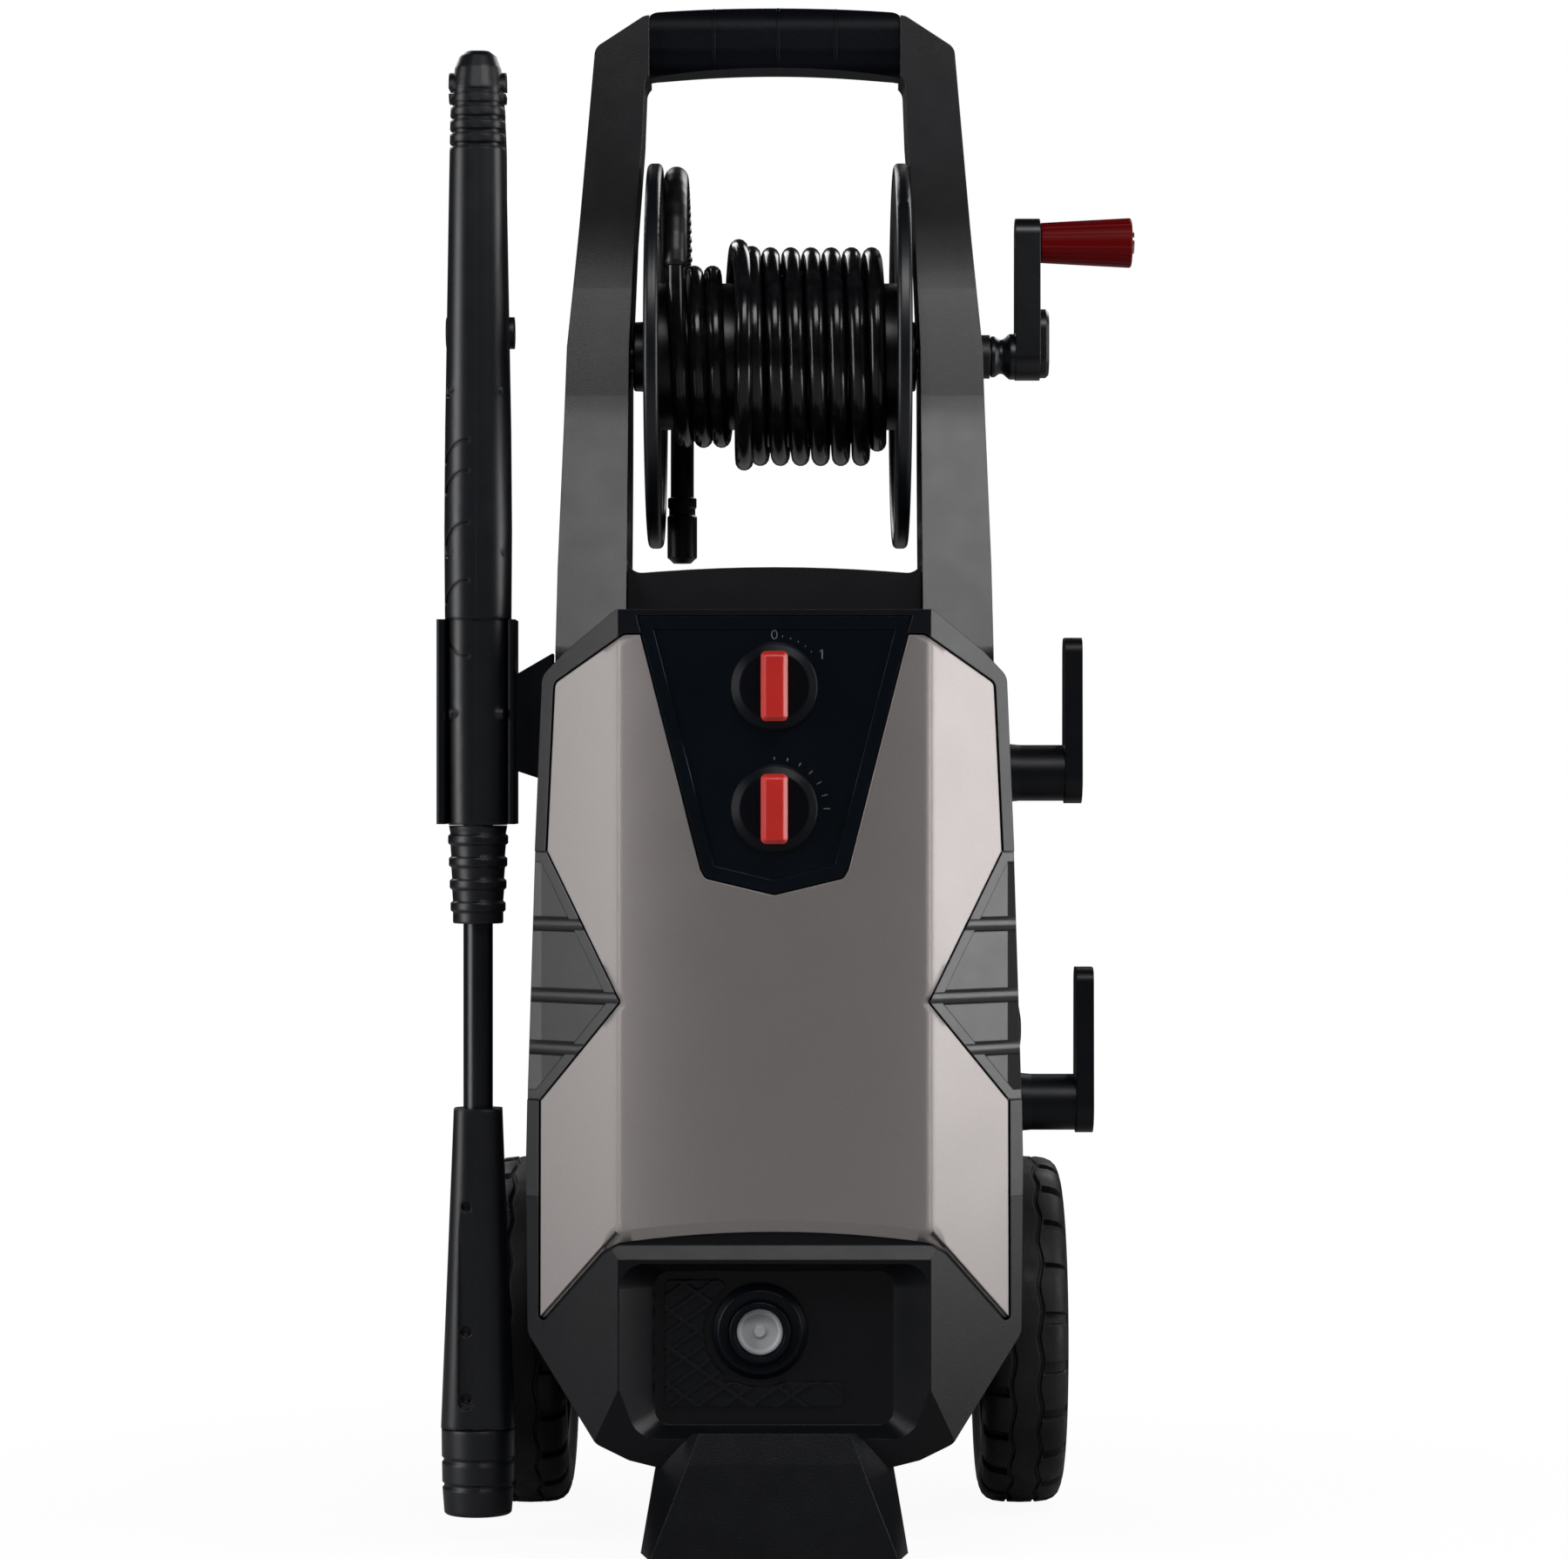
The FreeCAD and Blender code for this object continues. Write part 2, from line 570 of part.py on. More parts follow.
# Hose reel
def flange(side):
    """One reel flange: turned rim, thin web with windows, stiffening ribs and a hub boss.

    It is drawn at x = 0 with its outer face towards +X, then placed on its side of the reel.
    """
    inner, outer = DRUM_RADIUS - 6, FLANGE_RADIUS
    reach = HUB_REACH[side]
    disc = turned("x", (0, 0, 0), [(-6.5, 15), (-3, 15), (-3, outer - 5), (-6.5, outer - 5)])
    lip = turned("x", (0, 0, 0), [
        (-RIM_WIDTH, outer - 6.5, 2.5), (0, outer - 6.5, 2.5), (0, outer, 3), (-RIM_WIDTH, outer, 3),
    ])
    ring = turned("x", (0, 0, 0), [(-6, inner), (0, inner), (0, inner + 4), (-6, inner + 4)])
    boss = turned("x", (0, 0, 0), [(-6.5, 12), (reach, 12), (reach, 21, 1.5), (0, 21.5), (-3, 30)])
    window = prism("yz", [(-13, 70, 5), (13, 70, 5), (30, 103, 6), (0, 107, 160), (-30, 103, 6)], -20, 20)
    windows = ring_of(window, (0, 0, 0), "x", SPOKES)
    spoke = box((-4, 0), (-1.5, 1.5), (28, outer - 5))
    spokes = ring_of(spoke, (0, 0, 0), "x", SPOKES, 180.0 / SPOKES)
    solid = fused(disc.cut(Part.makeCompound(windows)), lip, ring, boss, *spokes)
    solid = solid.cut(rod("x", (0, 0, 0), JOURNAL_RADIUS + 3.02, -20, 20))
    if side < 0:
        return moved(mirrored(solid), REEL_LEFT_X, REEL_Y, REEL_Z)
    return moved(solid, REEL_RIGHT_X, REEL_Y, REEL_Z)


def reel_drum():
    """The drum the hose is wound on, with its two journals and their fixing collars."""
    centre = (0, REEL_Y, REEL_Z)
    left, right = REEL_LEFT_X + 6.6, REEL_RIGHT_X - 6.6
    barrel = turned("x", centre, [
        (left, JOURNAL_RADIUS), (left, DRUM_RADIUS), (right, DRUM_RADIUS), (right, JOURNAL_RADIUS),
        (right - 3, JOURNAL_RADIUS), (right - 3, DRUM_RADIUS - 3), (left + 3, DRUM_RADIUS - 3),
        (left + 3, JOURNAL_RADIUS),
    ])
    shaft = rod("x", centre, JOURNAL_RADIUS, JOURNAL_LEFT_X, JOURNAL_RIGHT_X)
    collars = [
        rod("x", centre, JOURNAL_RADIUS + 3, left - 6, left + 1),
        rod("x", centre, JOURNAL_RADIUS + 3, right - 1, right + 6),
    ]
    port = rod("z", (PORT_X, REEL_Y, 0), 7, REEL_Z + 20, REEL_Z + DRUM_RADIUS + 5)
    solid = fused(barrel, shaft, *collars).cut(port)
    return solid.cut(rod("x", centre, 3.5, JOURNAL_LEFT_X - 1, REEL_LEFT_X + 30))


def reel_bush(side):
    centre = (0, REEL_Y, REEL_Z)
    profile = [
        (88.2, JOURNAL_RADIUS + RUNNING_GAP), (88.2, BUSH_RADIUS - 0.02), (125.6, BUSH_RADIUS - 0.02),
        (125.6, 13.3), (131, 13.3), (131, JOURNAL_RADIUS + RUNNING_GAP),
    ]
    if side > 0:
        return turned("x", centre, profile)
    inner = [(-102, p[1]) if p[0] > 100 else (-88.2, p[1]) for p in profile[:3] + profile[-1:]]
    return turned("x", centre, inner)


def reel_swivel():
    """The water joint in the left post: a fixed elbow that turns on the reel's hollow journal."""
    centre = (0, REEL_Y, REEL_Z)
    body = rod("x", centre, BUSH_RADIUS - 0.1, -122, -102.1)
    body = body.cut(rod("x", centre, JOURNAL_RADIUS + RUNNING_GAP, -117, -100))
    stub = rod("z", (FEED_X, REEL_Y, 0), 5.9, REEL_Z - 24, REEL_Z - 11)
    return fused(body, stub).cut(rod("z", (FEED_X, REEL_Y, 0), 3, REEL_Z - 30, REEL_Z))


# Crank
def crank_arm():
    low, high = CRANK_ARM_X
    arm = prism("yz", [
        (-14, 0, 13.9), (-14, -14.5, 13.9), (14, -14.5, 13.9), (14, 0), (12.5, 84, 10), (-12.5, 84, 10),
    ], low, high)
    arm = moved(arm, 0, REEL_Y, REEL_Z)
    hub = turned("x", (0, REEL_Y, REEL_Z), [
        (131.5, 0), (131.5, 12.5, 1), (134, 12.5, 2), (138, 9.5, 3), (143, 13.9, 2), (low + 1, 13.9),
        (low + 1, 0),
    ])
    solid = fused(arm, hub)
    solid = solid.cut(rod("x", (0, REEL_Y, REEL_Z), JOURNAL_RADIUS + 0.01, 100, JOURNAL_RIGHT_X))
    return solid.cut(rod("x", (0, REEL_Y, REEL_Z + CRANK_RADIUS), 4.02, low - 1, high + 1))


def crank_cap():
    """The oval cap over the crank's fixing screw."""
    high = CRANK_ARM_X[1]
    outline = [(-13, -13, 12.9), (13, -13, 12.9), (13, 29, 12.9), (-13, 29, 12.9)]
    cap = moved(prism("yz", outline, high, high + 5.4), 0, REEL_Y, REEL_Z)
    return cap.makeChamfer(1.8, [e for e in cap.Edges if abs(e.CenterOfMass.x - high - 5.4) < 0.01])


def crank_pin():
    low, high = CRANK_ARM_X
    centre = (0, REEL_Y, REEL_Z + CRANK_RADIUS)
    pin = rod("x", centre, 4, low, high + GRIP_LENGTH + 0.4)
    return fused(pin, rod("x", centre, 6.5, high + GRIP_LENGTH + 0.4, high + GRIP_LENGTH + 1.6))


def crank_grip():
    start = CRANK_ARM_X[1] + 0.4
    centre = (start, REEL_Y, REEL_Z + CRANK_RADIUS)
    end = GRIP_LENGTH - 0.4
    body = turned("x", centre, [(0, 0), (0, 12.2, 1), (end, 15.2, 1.5), (end, 0)])
    flute = Part.makeCylinder(2.0, 70, V(-5, 0, 13.6), V(math.cos(0.054), 0, math.sin(0.054)))
    flutes = [moved(f, *centre) for f in ring_of(flute, (0, 0, 0), "x", FLUTES)]
    body = body.cut(Part.makeCompound(flutes))
    body = body.cut(rod("x", centre, 4 + RUNNING_GAP, start - 1, start + end + 1))
    return body.cut(rod("x", centre, 7, start + end - 2, start + end + 1))


# Hose
def hose_winding():
    inner = DRUM_RADIUS + GAP
    first = inner + HOSE_DIAMETER + 0.2
    second = first + HOSE_DIAMETER
    low, high = SECOND_LAYER_X
    return turned("x", (0, REEL_Y, REEL_Z), [
        (WINDING_LEFT_X, inner), (WINDING_LEFT_X, first, 4), (low - 4, first, 3), (low, second, 4),
        (high, second, 4), (high + 4, first, 3), (WINDING_RIGHT_X, first, 4), (WINDING_RIGHT_X, inner),
    ])


def pipe(points, radius, label):
    """A tube along straight runs joined by tangent arcs as large as the runs allow."""
    runs = [points[i + 1] - points[i] for i in range(len(points) - 1)]
    edges = []
    start = points[0]
    radii = []
    for i in range(1, len(points) - 1):
        back, on = (runs[i - 1] * -1).normalize(), V(runs[i]).normalize()
        turn = math.pi - back.getAngle(on)
        bend = 0.45 * min(runs[i - 1].Length, runs[i].Length) / math.tan(turn / 2)
        reach = bend * math.tan(turn / 2)
        middle = points[i] + (back + on).normalize() * (bend / math.cos(turn / 2) - bend)
        first, last = points[i] + back * reach, points[i] + on * reach
        edges.append(Part.LineSegment(start, first).toShape())
        edges.append(Part.Arc(first, middle, last).toShape())
        start = last
        radii.append(bend)
    edges.append(Part.LineSegment(start, points[-1]).toShape())
    path = Part.Wire(edges)
    circle = Part.Wire(Part.Circle(points[0], runs[0], radius).toShape())
    solid = path.makePipeShell([circle], True, True)
    ideal = math.pi * radius ** 2 * path.Length
    print(f"{label}: length {path.Length:.1f}, volume {solid.Volume / ideal:.4f} of section x length,",
          "radii", [round(r) for r in radii])
    return solid


def hose_route():
    """The free end of the hose: up from the winding, over, and down behind it. Offsets from the axis."""
    offsets = [
        (-59.6, -52.8, 26), (-59.8, -51.0, 68), (-59.9, -29, 101), (-60.0, 7, 112), (-59.6, 43, 101),
        (-58.9, 65.5, 70), (-58.2, 67.0, 28), (-57.8, 64.8, -18), (-58.0, 65.6, -54), (-58.0, 65.6, -82),
    ]
    return [V(x, REEL_Y + y, REEL_Z + z) for x, y, z in offsets]


def hose_connector():
    end = hose_route()[-1]
    return turned("z", (end.x, end.y, end.z), [
        (-41, 0), (-41, 5.5), (-38, 8.6, 1), (-38, 9.3, 1), (-12, 9.3, 1), (-11, 8.2), (-7, 8.2), (-6, 9, 1),
        (0, 9, 1), (0, 0),
    ])


# Spray gun, seen from above: height, half width, front, back and corner rounding of each section
GUN_LOWER = [(424, 17.2, 20, 57, 13), (490, 17.6, 19.6, 57.4, 13), (560, 17.9, 19.4, 57.6, 13)]
GUN_UPPER = [
    (546.3, 19.4, 17.6, 61.5, 15), (600, 19.7, 17, 62, 15), (660, 19.3, 17.5, 61, 15), (720, 18.3, 18.5, 58, 14),
    (790, 17.2, 19.5, 54, 13), (845, 16.2, 21, 52.5, 12), (862, 15.4, 22, 51.5, 12), (874, 13.6, 24, 49.5, 11),
    (881, 11, 27, 46.5, 9), (884, 7, 31, 42.5, 5),
]
GUARD_OUTER = [(40, 872), (86, 864, 18), (110, 836, 24), (116, 745, 60), (98, 662, 40), (50, 622)]
GUARD_INNER = [(46, 850), (80, 845, 12), (96, 824, 16), (102, 746, 50), (86, 680, 26), (46, 652)]
PIVOT = (60.0, 719.0)
GUN_SCREW_Y = 25.0
GUN_SCREW_Z = (681, 586, 490)


def gun_loft(stations, inset=0.0):
    """The gun's body through its sections, or its hollow with a wall of inset."""
    sections = []
    for z, half, low, high, radius in stations:
        across = (GUN_X - half + inset, GUN_X + half - inset)
        sections.append(wire("xy", rectangle(across, (low + inset, high - inset), radius - inset), z))
    return Part.makeLoft(sections, True, True)


def gun_halves():
    """The two shells of the gun: a long body, a trigger guard behind it, and cheeks for the pivot."""
    guard = prism("yz", GUARD_OUTER, GUN_X - 13, GUN_X + 13)
    guard = guard.makeFillet(5, [e for e in guard.Edges if abs(abs(e.CenterOfMass.x - GUN_X) - 13) < 0.01])
    guard = guard.cut(prism("yz", GUARD_INNER, GUN_X - 14, GUN_X + 14))
    body = fused(gun_loft(GUN_UPPER), gun_loft(GUN_LOWER))
    throat = prism("xy", rectangle((GUN_X - 14, GUN_X + 14), (22.5, 54.5), 9), 430, 560)
    hollow = fused(gun_loft(GUN_UPPER[:6], 3), throat)
    ears = rod("x", (0, 37, 862), 9.5, GUN_X - 16.9, GUN_X + 16.9)
    cheeks = rod("x", (0,) + PIVOT, 9.6, GUN_X - 20.4, GUN_X + 20.4)
    posts = [rod("x", (0, GUN_SCREW_Y, z), 3.9, GUN_X - 16, GUN_X + 16) for z in GUN_SCREW_Z]
    grooves = [groove_around(z) for z in range(826, 860, 8)]
    solid = fused(body.cut(hollow), guard.cut(body), ears, cheeks, *posts)
    solid = solid.cut(Part.makeCompound(grooves + finger_grooves()))
    solid = solid.cut(box((GUN_X - 8, GUN_X + 8), (46, 74), (704, 757)))
    solid = solid.cut(rod("x", (0,) + PIVOT, 3.02, GUN_X - 30, GUN_X + 30))
    solid = solid.cut(rod("z", (GUN_X, GUN_Y, 0), LANCE_RADIUS + 0.05, 400, 440))
    for z in GUN_SCREW_Z:
        solid = solid.cut(rod("x", (0, GUN_SCREW_Y, z), 2.02, GUN_X - 30, GUN_X + 8))
        solid = solid.cut(rod("x", (0, GUN_SCREW_Y, z), 3.4, GUN_X - 30, GUN_X - 12))
    left = solid.common(box((GUN_X - 50, GUN_X), (0, 200), (400, 900)))
    right = solid.common(box((GUN_X, GUN_X + 50), (0, 200), (400, 900)))
    return left, right


def groove_around(z):
    """A shallow ring groove around the top of the gun."""
    slab = box((GUN_X - 30, GUN_X + 30), (10, 54), (z, z + 3))
    core = prism("xy", rectangle((GUN_X - 14.6, GUN_X + 14.6), (22.6, 90), 10), z - 1, z + 4)
    return slab.cut(core)


def finger_grooves():
    """Quarter-round grooves on the left front of the grip, following its surface."""
    inside = fused(gun_loft(GUN_UPPER[:6], 0.8), gun_loft(GUN_LOWER, 0.8))
    x = GUN_X - 4
    grooves = []
    for z, low in ((638, 0), (620, 0), (589, 0), (555, 0), (538, -15)):
        ring = tube("y", (x, 0, z), 14.7, 13.3, 0, GUN_Y)
        quarter = ring.common(box((GUN_X - 30, x), (0, GUN_Y), (z + low, z + low + 15)))
        grooves.append(quarter.cut(inside))
    return grooves


def gun_screws():
    screws = []
    for z in GUN_SCREW_Z:
        y = GUN_SCREW_Y
        head = rod("x", (0, y, z), 3.2, GUN_X - 14.4, GUN_X - 12.1)
        socket = box((GUN_X - 15, GUN_X - 13), (y - 0.6, y + 0.6), (z - 2.3, z + 2.3))
        screws.append(fused(head, rod("x", (0, y, z), 2, GUN_X - 12.1, GUN_X + 7)).cut(socket))
    return screws


def trigger():
    y, z = PIVOT
    lever = prism("yz", [
        (y - 7, z + 4, 3), (y - 7, z - 7, 6.9), (y + 7, z - 7, 6.9), (y + 15.5, z + 24, 40), (y + 23, z + 82, 4),
        (y + 20, z + 92, 2.8), (y + 14.5, z + 88, 2.8), (y + 8, z + 44, 40),
    ], GUN_X - 7.4, GUN_X + 7.4)
    return lever.cut(rod("x", (0,) + PIVOT, 3 + RUNNING_GAP, GUN_X - 20, GUN_X + 20))


def trigger_pin():
    return rod("x", (0,) + PIVOT, 3, GUN_X - 20.2, GUN_X + 20.2)


def gun_valve():
    """The valve block inside the gun, which the lance tube ends in."""
    return turned("z", (GUN_X, GUN_Y, 0), [
        (560, 4), (560, 9), (640, 9), (640, 7.5), (690, 7.5), (690, 4),
    ])


def lance_collar():
    """The ribbed nose between gun and lance."""
    profile = [(365.4, LANCE_RADIUS + 0.02), (365.4, 15.0, 1)]
    for i in range(4):
        z = 372 + 13.3 * i
        radius = 15.0 + 0.5 * i
        profile += [(z, radius), (z + 1.2, radius + 1.4, 0.8), (z + 5.6, radius + 1.4, 0.8), (z + 6.8, radius)]
    profile += [(423.6, 17.4), (423.6, LANCE_RADIUS + 0.02)]
    return turned("z", (GUN_X, GUN_Y, 0), profile)


def lance_tube():
    return tube("z", (GUN_X, GUN_Y, 0), LANCE_RADIUS, 5, 60, 559.9)


def shroud_halves():
    """The two shells around the foot of the lance, with a sunk strip and screw holes in front."""
    stations = [(255.4, 14.2, 14.2, 9), (230, 15.2, 14.6, 10), (66, 21.8, 18.5, 14)]
    sections = []
    for z, half, depth, radius in stations:
        across = rectangle((GUN_X - half, GUN_X + half), (GUN_Y - depth, GUN_Y + depth), radius)
        sections.append(wire("xy", across, z))
    solid = Part.makeLoft(sections, True, True)
    strip = prism("xz", rectangle((GUN_X - 10.5, GUN_X - 1.5), (78, 197), 4), GUN_Y - 30, GUN_Y - 14.6)
    solid = solid.cut(strip)
    solid = solid.cut(rod("z", (GUN_X, GUN_Y, 0), LANCE_RADIUS + 0.02, 0, 300))
    for z in (198, 124, 84):
        solid = solid.cut(rod("y", (GUN_X - 6, 0, z), 3, GUN_Y - 30, GUN_Y - 11))
    left = solid.common(box((GUN_X - 50, GUN_X), (-50, 100), (0, 400)))
    right = solid.common(box((GUN_X, GUN_X + 50), (-50, 100), (0, 400)))
    return left, right


def nozzle_sleeve():
    return turned("z", (GUN_X, GUN_Y, 0), [
        (14.2, 12.5), (14.2, 20, 2), (30, 21.2), (31, 20.2), (32.6, 20.2), (33.6, 21.3), (45, 21.5), (46, 20.5),
        (47.6, 20.5), (48.6, 21.6), (65.6, 21.8, 1), (65.6, 12.5),
    ])


def nozzle_tip():
    return turned("z", (GUN_X, GUN_Y, 0), [
        (19, 1.2), (19, 8, 1), (24, 12.4), (59.8, 12.4), (59.8, 1.2),
    ])


def gun_holder():
    """The open-fronted cup that carries the gun's shoulder, with its arm to the housing."""
    inner = 18.4
    low, high = 424.5, 546.0
    outline = [
        (GUN_X - inner - 5.5, 24, 2), (GUN_X - inner - 5.5, 66, 8), (GUN_X + inner + 4.4, 66, 8),
        (GUN_X + inner + 4.4, 24, 2), (GUN_X + inner, 24, 1.5), (GUN_X + inner, 60, 6),
        (GUN_X - inner, 60, 6), (GUN_X - inner, 24, 1.5),
    ]
    cup = prism("xy", outline, low, high)
    arm_points = [(GUN_X + inner + 2, 457, 3), (-132, 449), (-132, 526), (GUN_X + inner + 2, 512, 3)]
    arm = prism("xz", arm_points, 32, 56)
    return fused(cup, arm).cut(housing_envelope())


# Dials
def dial(z):
    """A round dial with a raised bar and a shaft through the panel."""
    face = FRONT_Y + 2.2
    skirt = turned("y", (0, 0, z), [
        (face - 0.3, 0), (face - 0.3, DIAL_RADIUS, 0.5), (face - 4, DIAL_RADIUS - 1, 1),
        (face - 6.5, DIAL_RADIUS - 6, 2),
        (face - 6.5, 0),
    ])
    bar = prism("xz", rectangle((-6.6, 6.6), (z - 19, z + 19), 3), face - 13, face - 6)
    shaft = rod("y", (0, 0, z), 6 - RUNNING_GAP, face - 1, -2)
    return fused(skirt, bar, shaft)


def pointer(z):
    """The bevelled bar that caps a dial."""
    face = FRONT_Y + 2.2
    low, high = face - 21, face - 7.5
    blank = prism("xz", rectangle((-7.8, 7.8), (z - 20.2, z + 20.2), 3.2), low, high)
    edges = [e for e in blank.Edges if abs(e.CenterOfMass.y - low) < 0.01]
    blank = blank.makeChamfer(2.6, edges)
    return blank.cut(prism("xz", rectangle((-6.65, 6.65), (z - 19.05, z + 19.05), 3), face - 13.05, high + 1))


# Cable hooks
def side_x(z):
    """Half width of the housing at a height, between the corners of its outline."""
    for (x1, z1, *_), (x0, z0, *_) in zip(SHELL_HALF, SHELL_HALF[1:]):
        if z0 <= z <= z1:
            return x0 + (x1 - x0) * (z - z0) / (z1 - z0)
    return 0


def hook(z):
    """A cable hook: a round arm out from the side and a plate that stands up at its end."""
    base = side_x(z) + 1.2
    arm = turned("x", (base, HOOK_Y, z), [(0, 8), (0, 17.8, 1), (8, 17, 2), (36, 17, 1), (36, 8)])
    plate = prism("yz", [
        (-18, -18.5, 17), (18, -18.5, 17), (16, 82, 9), (-16, 82, 9),
    ], base + 35, base + 45.5)
    plate = moved(plate, 0, HOOK_Y, z)
    solid = fused(arm, plate)
    bore = rod("x", (0, HOOK_Y, z), HOOK_PIN + RUNNING_GAP, base - 1, base + 30)
    return solid.cut(bore)


def hook_pivots():
    """The two fixed studs that the cable hooks swivel on."""
    studs = []
    for z in (UPPER_HOOK_Z, LOWER_HOOK_Z):
        base = side_x(z)
        stud = rod("x", (0, HOOK_Y, z), HOOK_PIN, base + 0.9, base + 29)
        neck = rod("x", (0, HOOK_Y, z), 5, base - WALL - 2, base + 1)
        studs.append(fused(stud, neck, rod("x", (0, HOOK_Y, z), 9, base - WALL - 6, base - WALL - 1.5)))
    return studs


# Water inlet, gland and what works inside the housing
def inlet_socket():
    """The threaded socket that the water supply screws into, set in the floor of the nose."""
    floor = FRONT_Y + 22
    return turned("y", (INLET_X, 0, INLET_Z), [
        (floor - 10, INLET_RADIUS), (floor - 10, 18, 1), (floor + 12, 18), (floor + 12, 11), (45, 11), (45, 7),
        (floor + 4, 7), (floor + 4, FILTER_SEAT), (floor - 5, FILTER_SEAT), (floor - 5, INLET_RADIUS),
    ])


def inlet_collar():
    floor = FRONT_Y + 22
    return turned("y", (INLET_X, 0, INLET_Z), [
        (floor - 0.05, 18.1), (floor - 6, 18.1), (floor - 7, 24, 2), (floor - 0.05, 31, 2),
    ])


def inlet_filter():
    """The strainer that drops into the socket, a dished disc with a raised rim and button."""
    floor = FRONT_Y + 22
    edge = FILTER_SEAT - 0.1
    return turned("y", (INLET_X, 0, INLET_Z), [
        (floor - 4.4, 0), (floor - 4.4, 3, 1), (floor - 2.6, 4.5), (floor - 2.6, 10.8), (floor - 4.9, 11.6, 0.5),
        (floor - 4.9, edge, 0.5), (floor + 3.9, edge), (floor + 3.9, 11), (floor - 1, 11), (floor - 1, 0),
    ])


def cable_gland():
    base = side_x(GLAND_Z)
    return turned("x", (base, GLAND_Y, GLAND_Z), [
        (-12, 4.5), (-12, 8.9), (0.8, 8.9), (0.8, 15.4, 0.5), (3.6, 13.5, 1), (4.6, 7, 1), (4.6, 4.5),
    ])


def pump():
    """The pump block: three cylinders in a ring under a round head, fed from the inlet."""
    centre = (0, PUMP_Y, 0)
    head = turned("z", centre, [(72, 0), (72, 34, 4), (100, 34), (100, 40), (150, 44, 3), (150, 0)])
    barrels = ring_of(rod("z", (0, PUMP_Y + 26, 0), 12, 64, 104), centre, "z", 3, 180)
    inlet = rod("y", (INLET_X, 0, INLET_Z), 10, 45.05, PUMP_Y - 20)
    outlet = rod("x", (0, PUMP_Y, 88), 8, -70, 0)
    return fused(head, *barrels, inlet, outlet)


def motor_case():
    centre = (0, PUMP_Y, 0)
    return turned("z", centre, [
        (150.2, SHAFT_RADIUS + RUNNING_GAP), (150.2, 48, 3), (325, 48, 3), (325, SHAFT_RADIUS + RUNNING_GAP),
        (320, SHAFT_RADIUS + RUNNING_GAP), (320, 44), (156, 44), (156, SHAFT_RADIUS + RUNNING_GAP),
    ])


def motor_rotor():
    """Shaft, armature and cooling fan in one turning piece."""
    centre = (0, PUMP_Y, 0)
    spindle = rod("z", centre, SHAFT_RADIUS, 150.5, 345)
    armature = rod("z", centre, 29, 195, 280)
    disc = rod("z", centre, 46, 328, 331)
    blade = box((12, 44), (PUMP_Y - 1, PUMP_Y + 1), (330, 344))
    return fused(spindle, armature, disc, *ring_of(blade, centre, "z", 9))


def feed_pipe():
    """The pressure pipe from the pump, up inside the left post, to the reel's water joint."""
    route = [
        V(-70.05, PUMP_Y, 88), V(-92, PUMP_Y, 88), V(-104, PUMP_Y, 110), V(-106, PUMP_Y + 2, 170),
        V(-110, REEL_Y - 2, 260), V(FEED_X, REEL_Y, 360), V(FEED_X, REEL_Y, REEL_Z - 24.05),
    ]
    return pipe(route, 5, "feed_pipe")


def control_switch():
    z = POWER_DIAL_Z
    body = box((-24, 24), (-14, 16), (z - 24, z + 24))
    return body.cut(rod("y", (0, 0, z), 6, -20, 0))


def detergent_valve():
    z = FLOW_DIAL_Z
    body = turned("y", (0, 0, z), [(-14, 0), (-14, 18, 2), (12, 18, 2), (12, 0)])
    return body.cut(rod("y", (0, 0, z), 6, -20, 0))


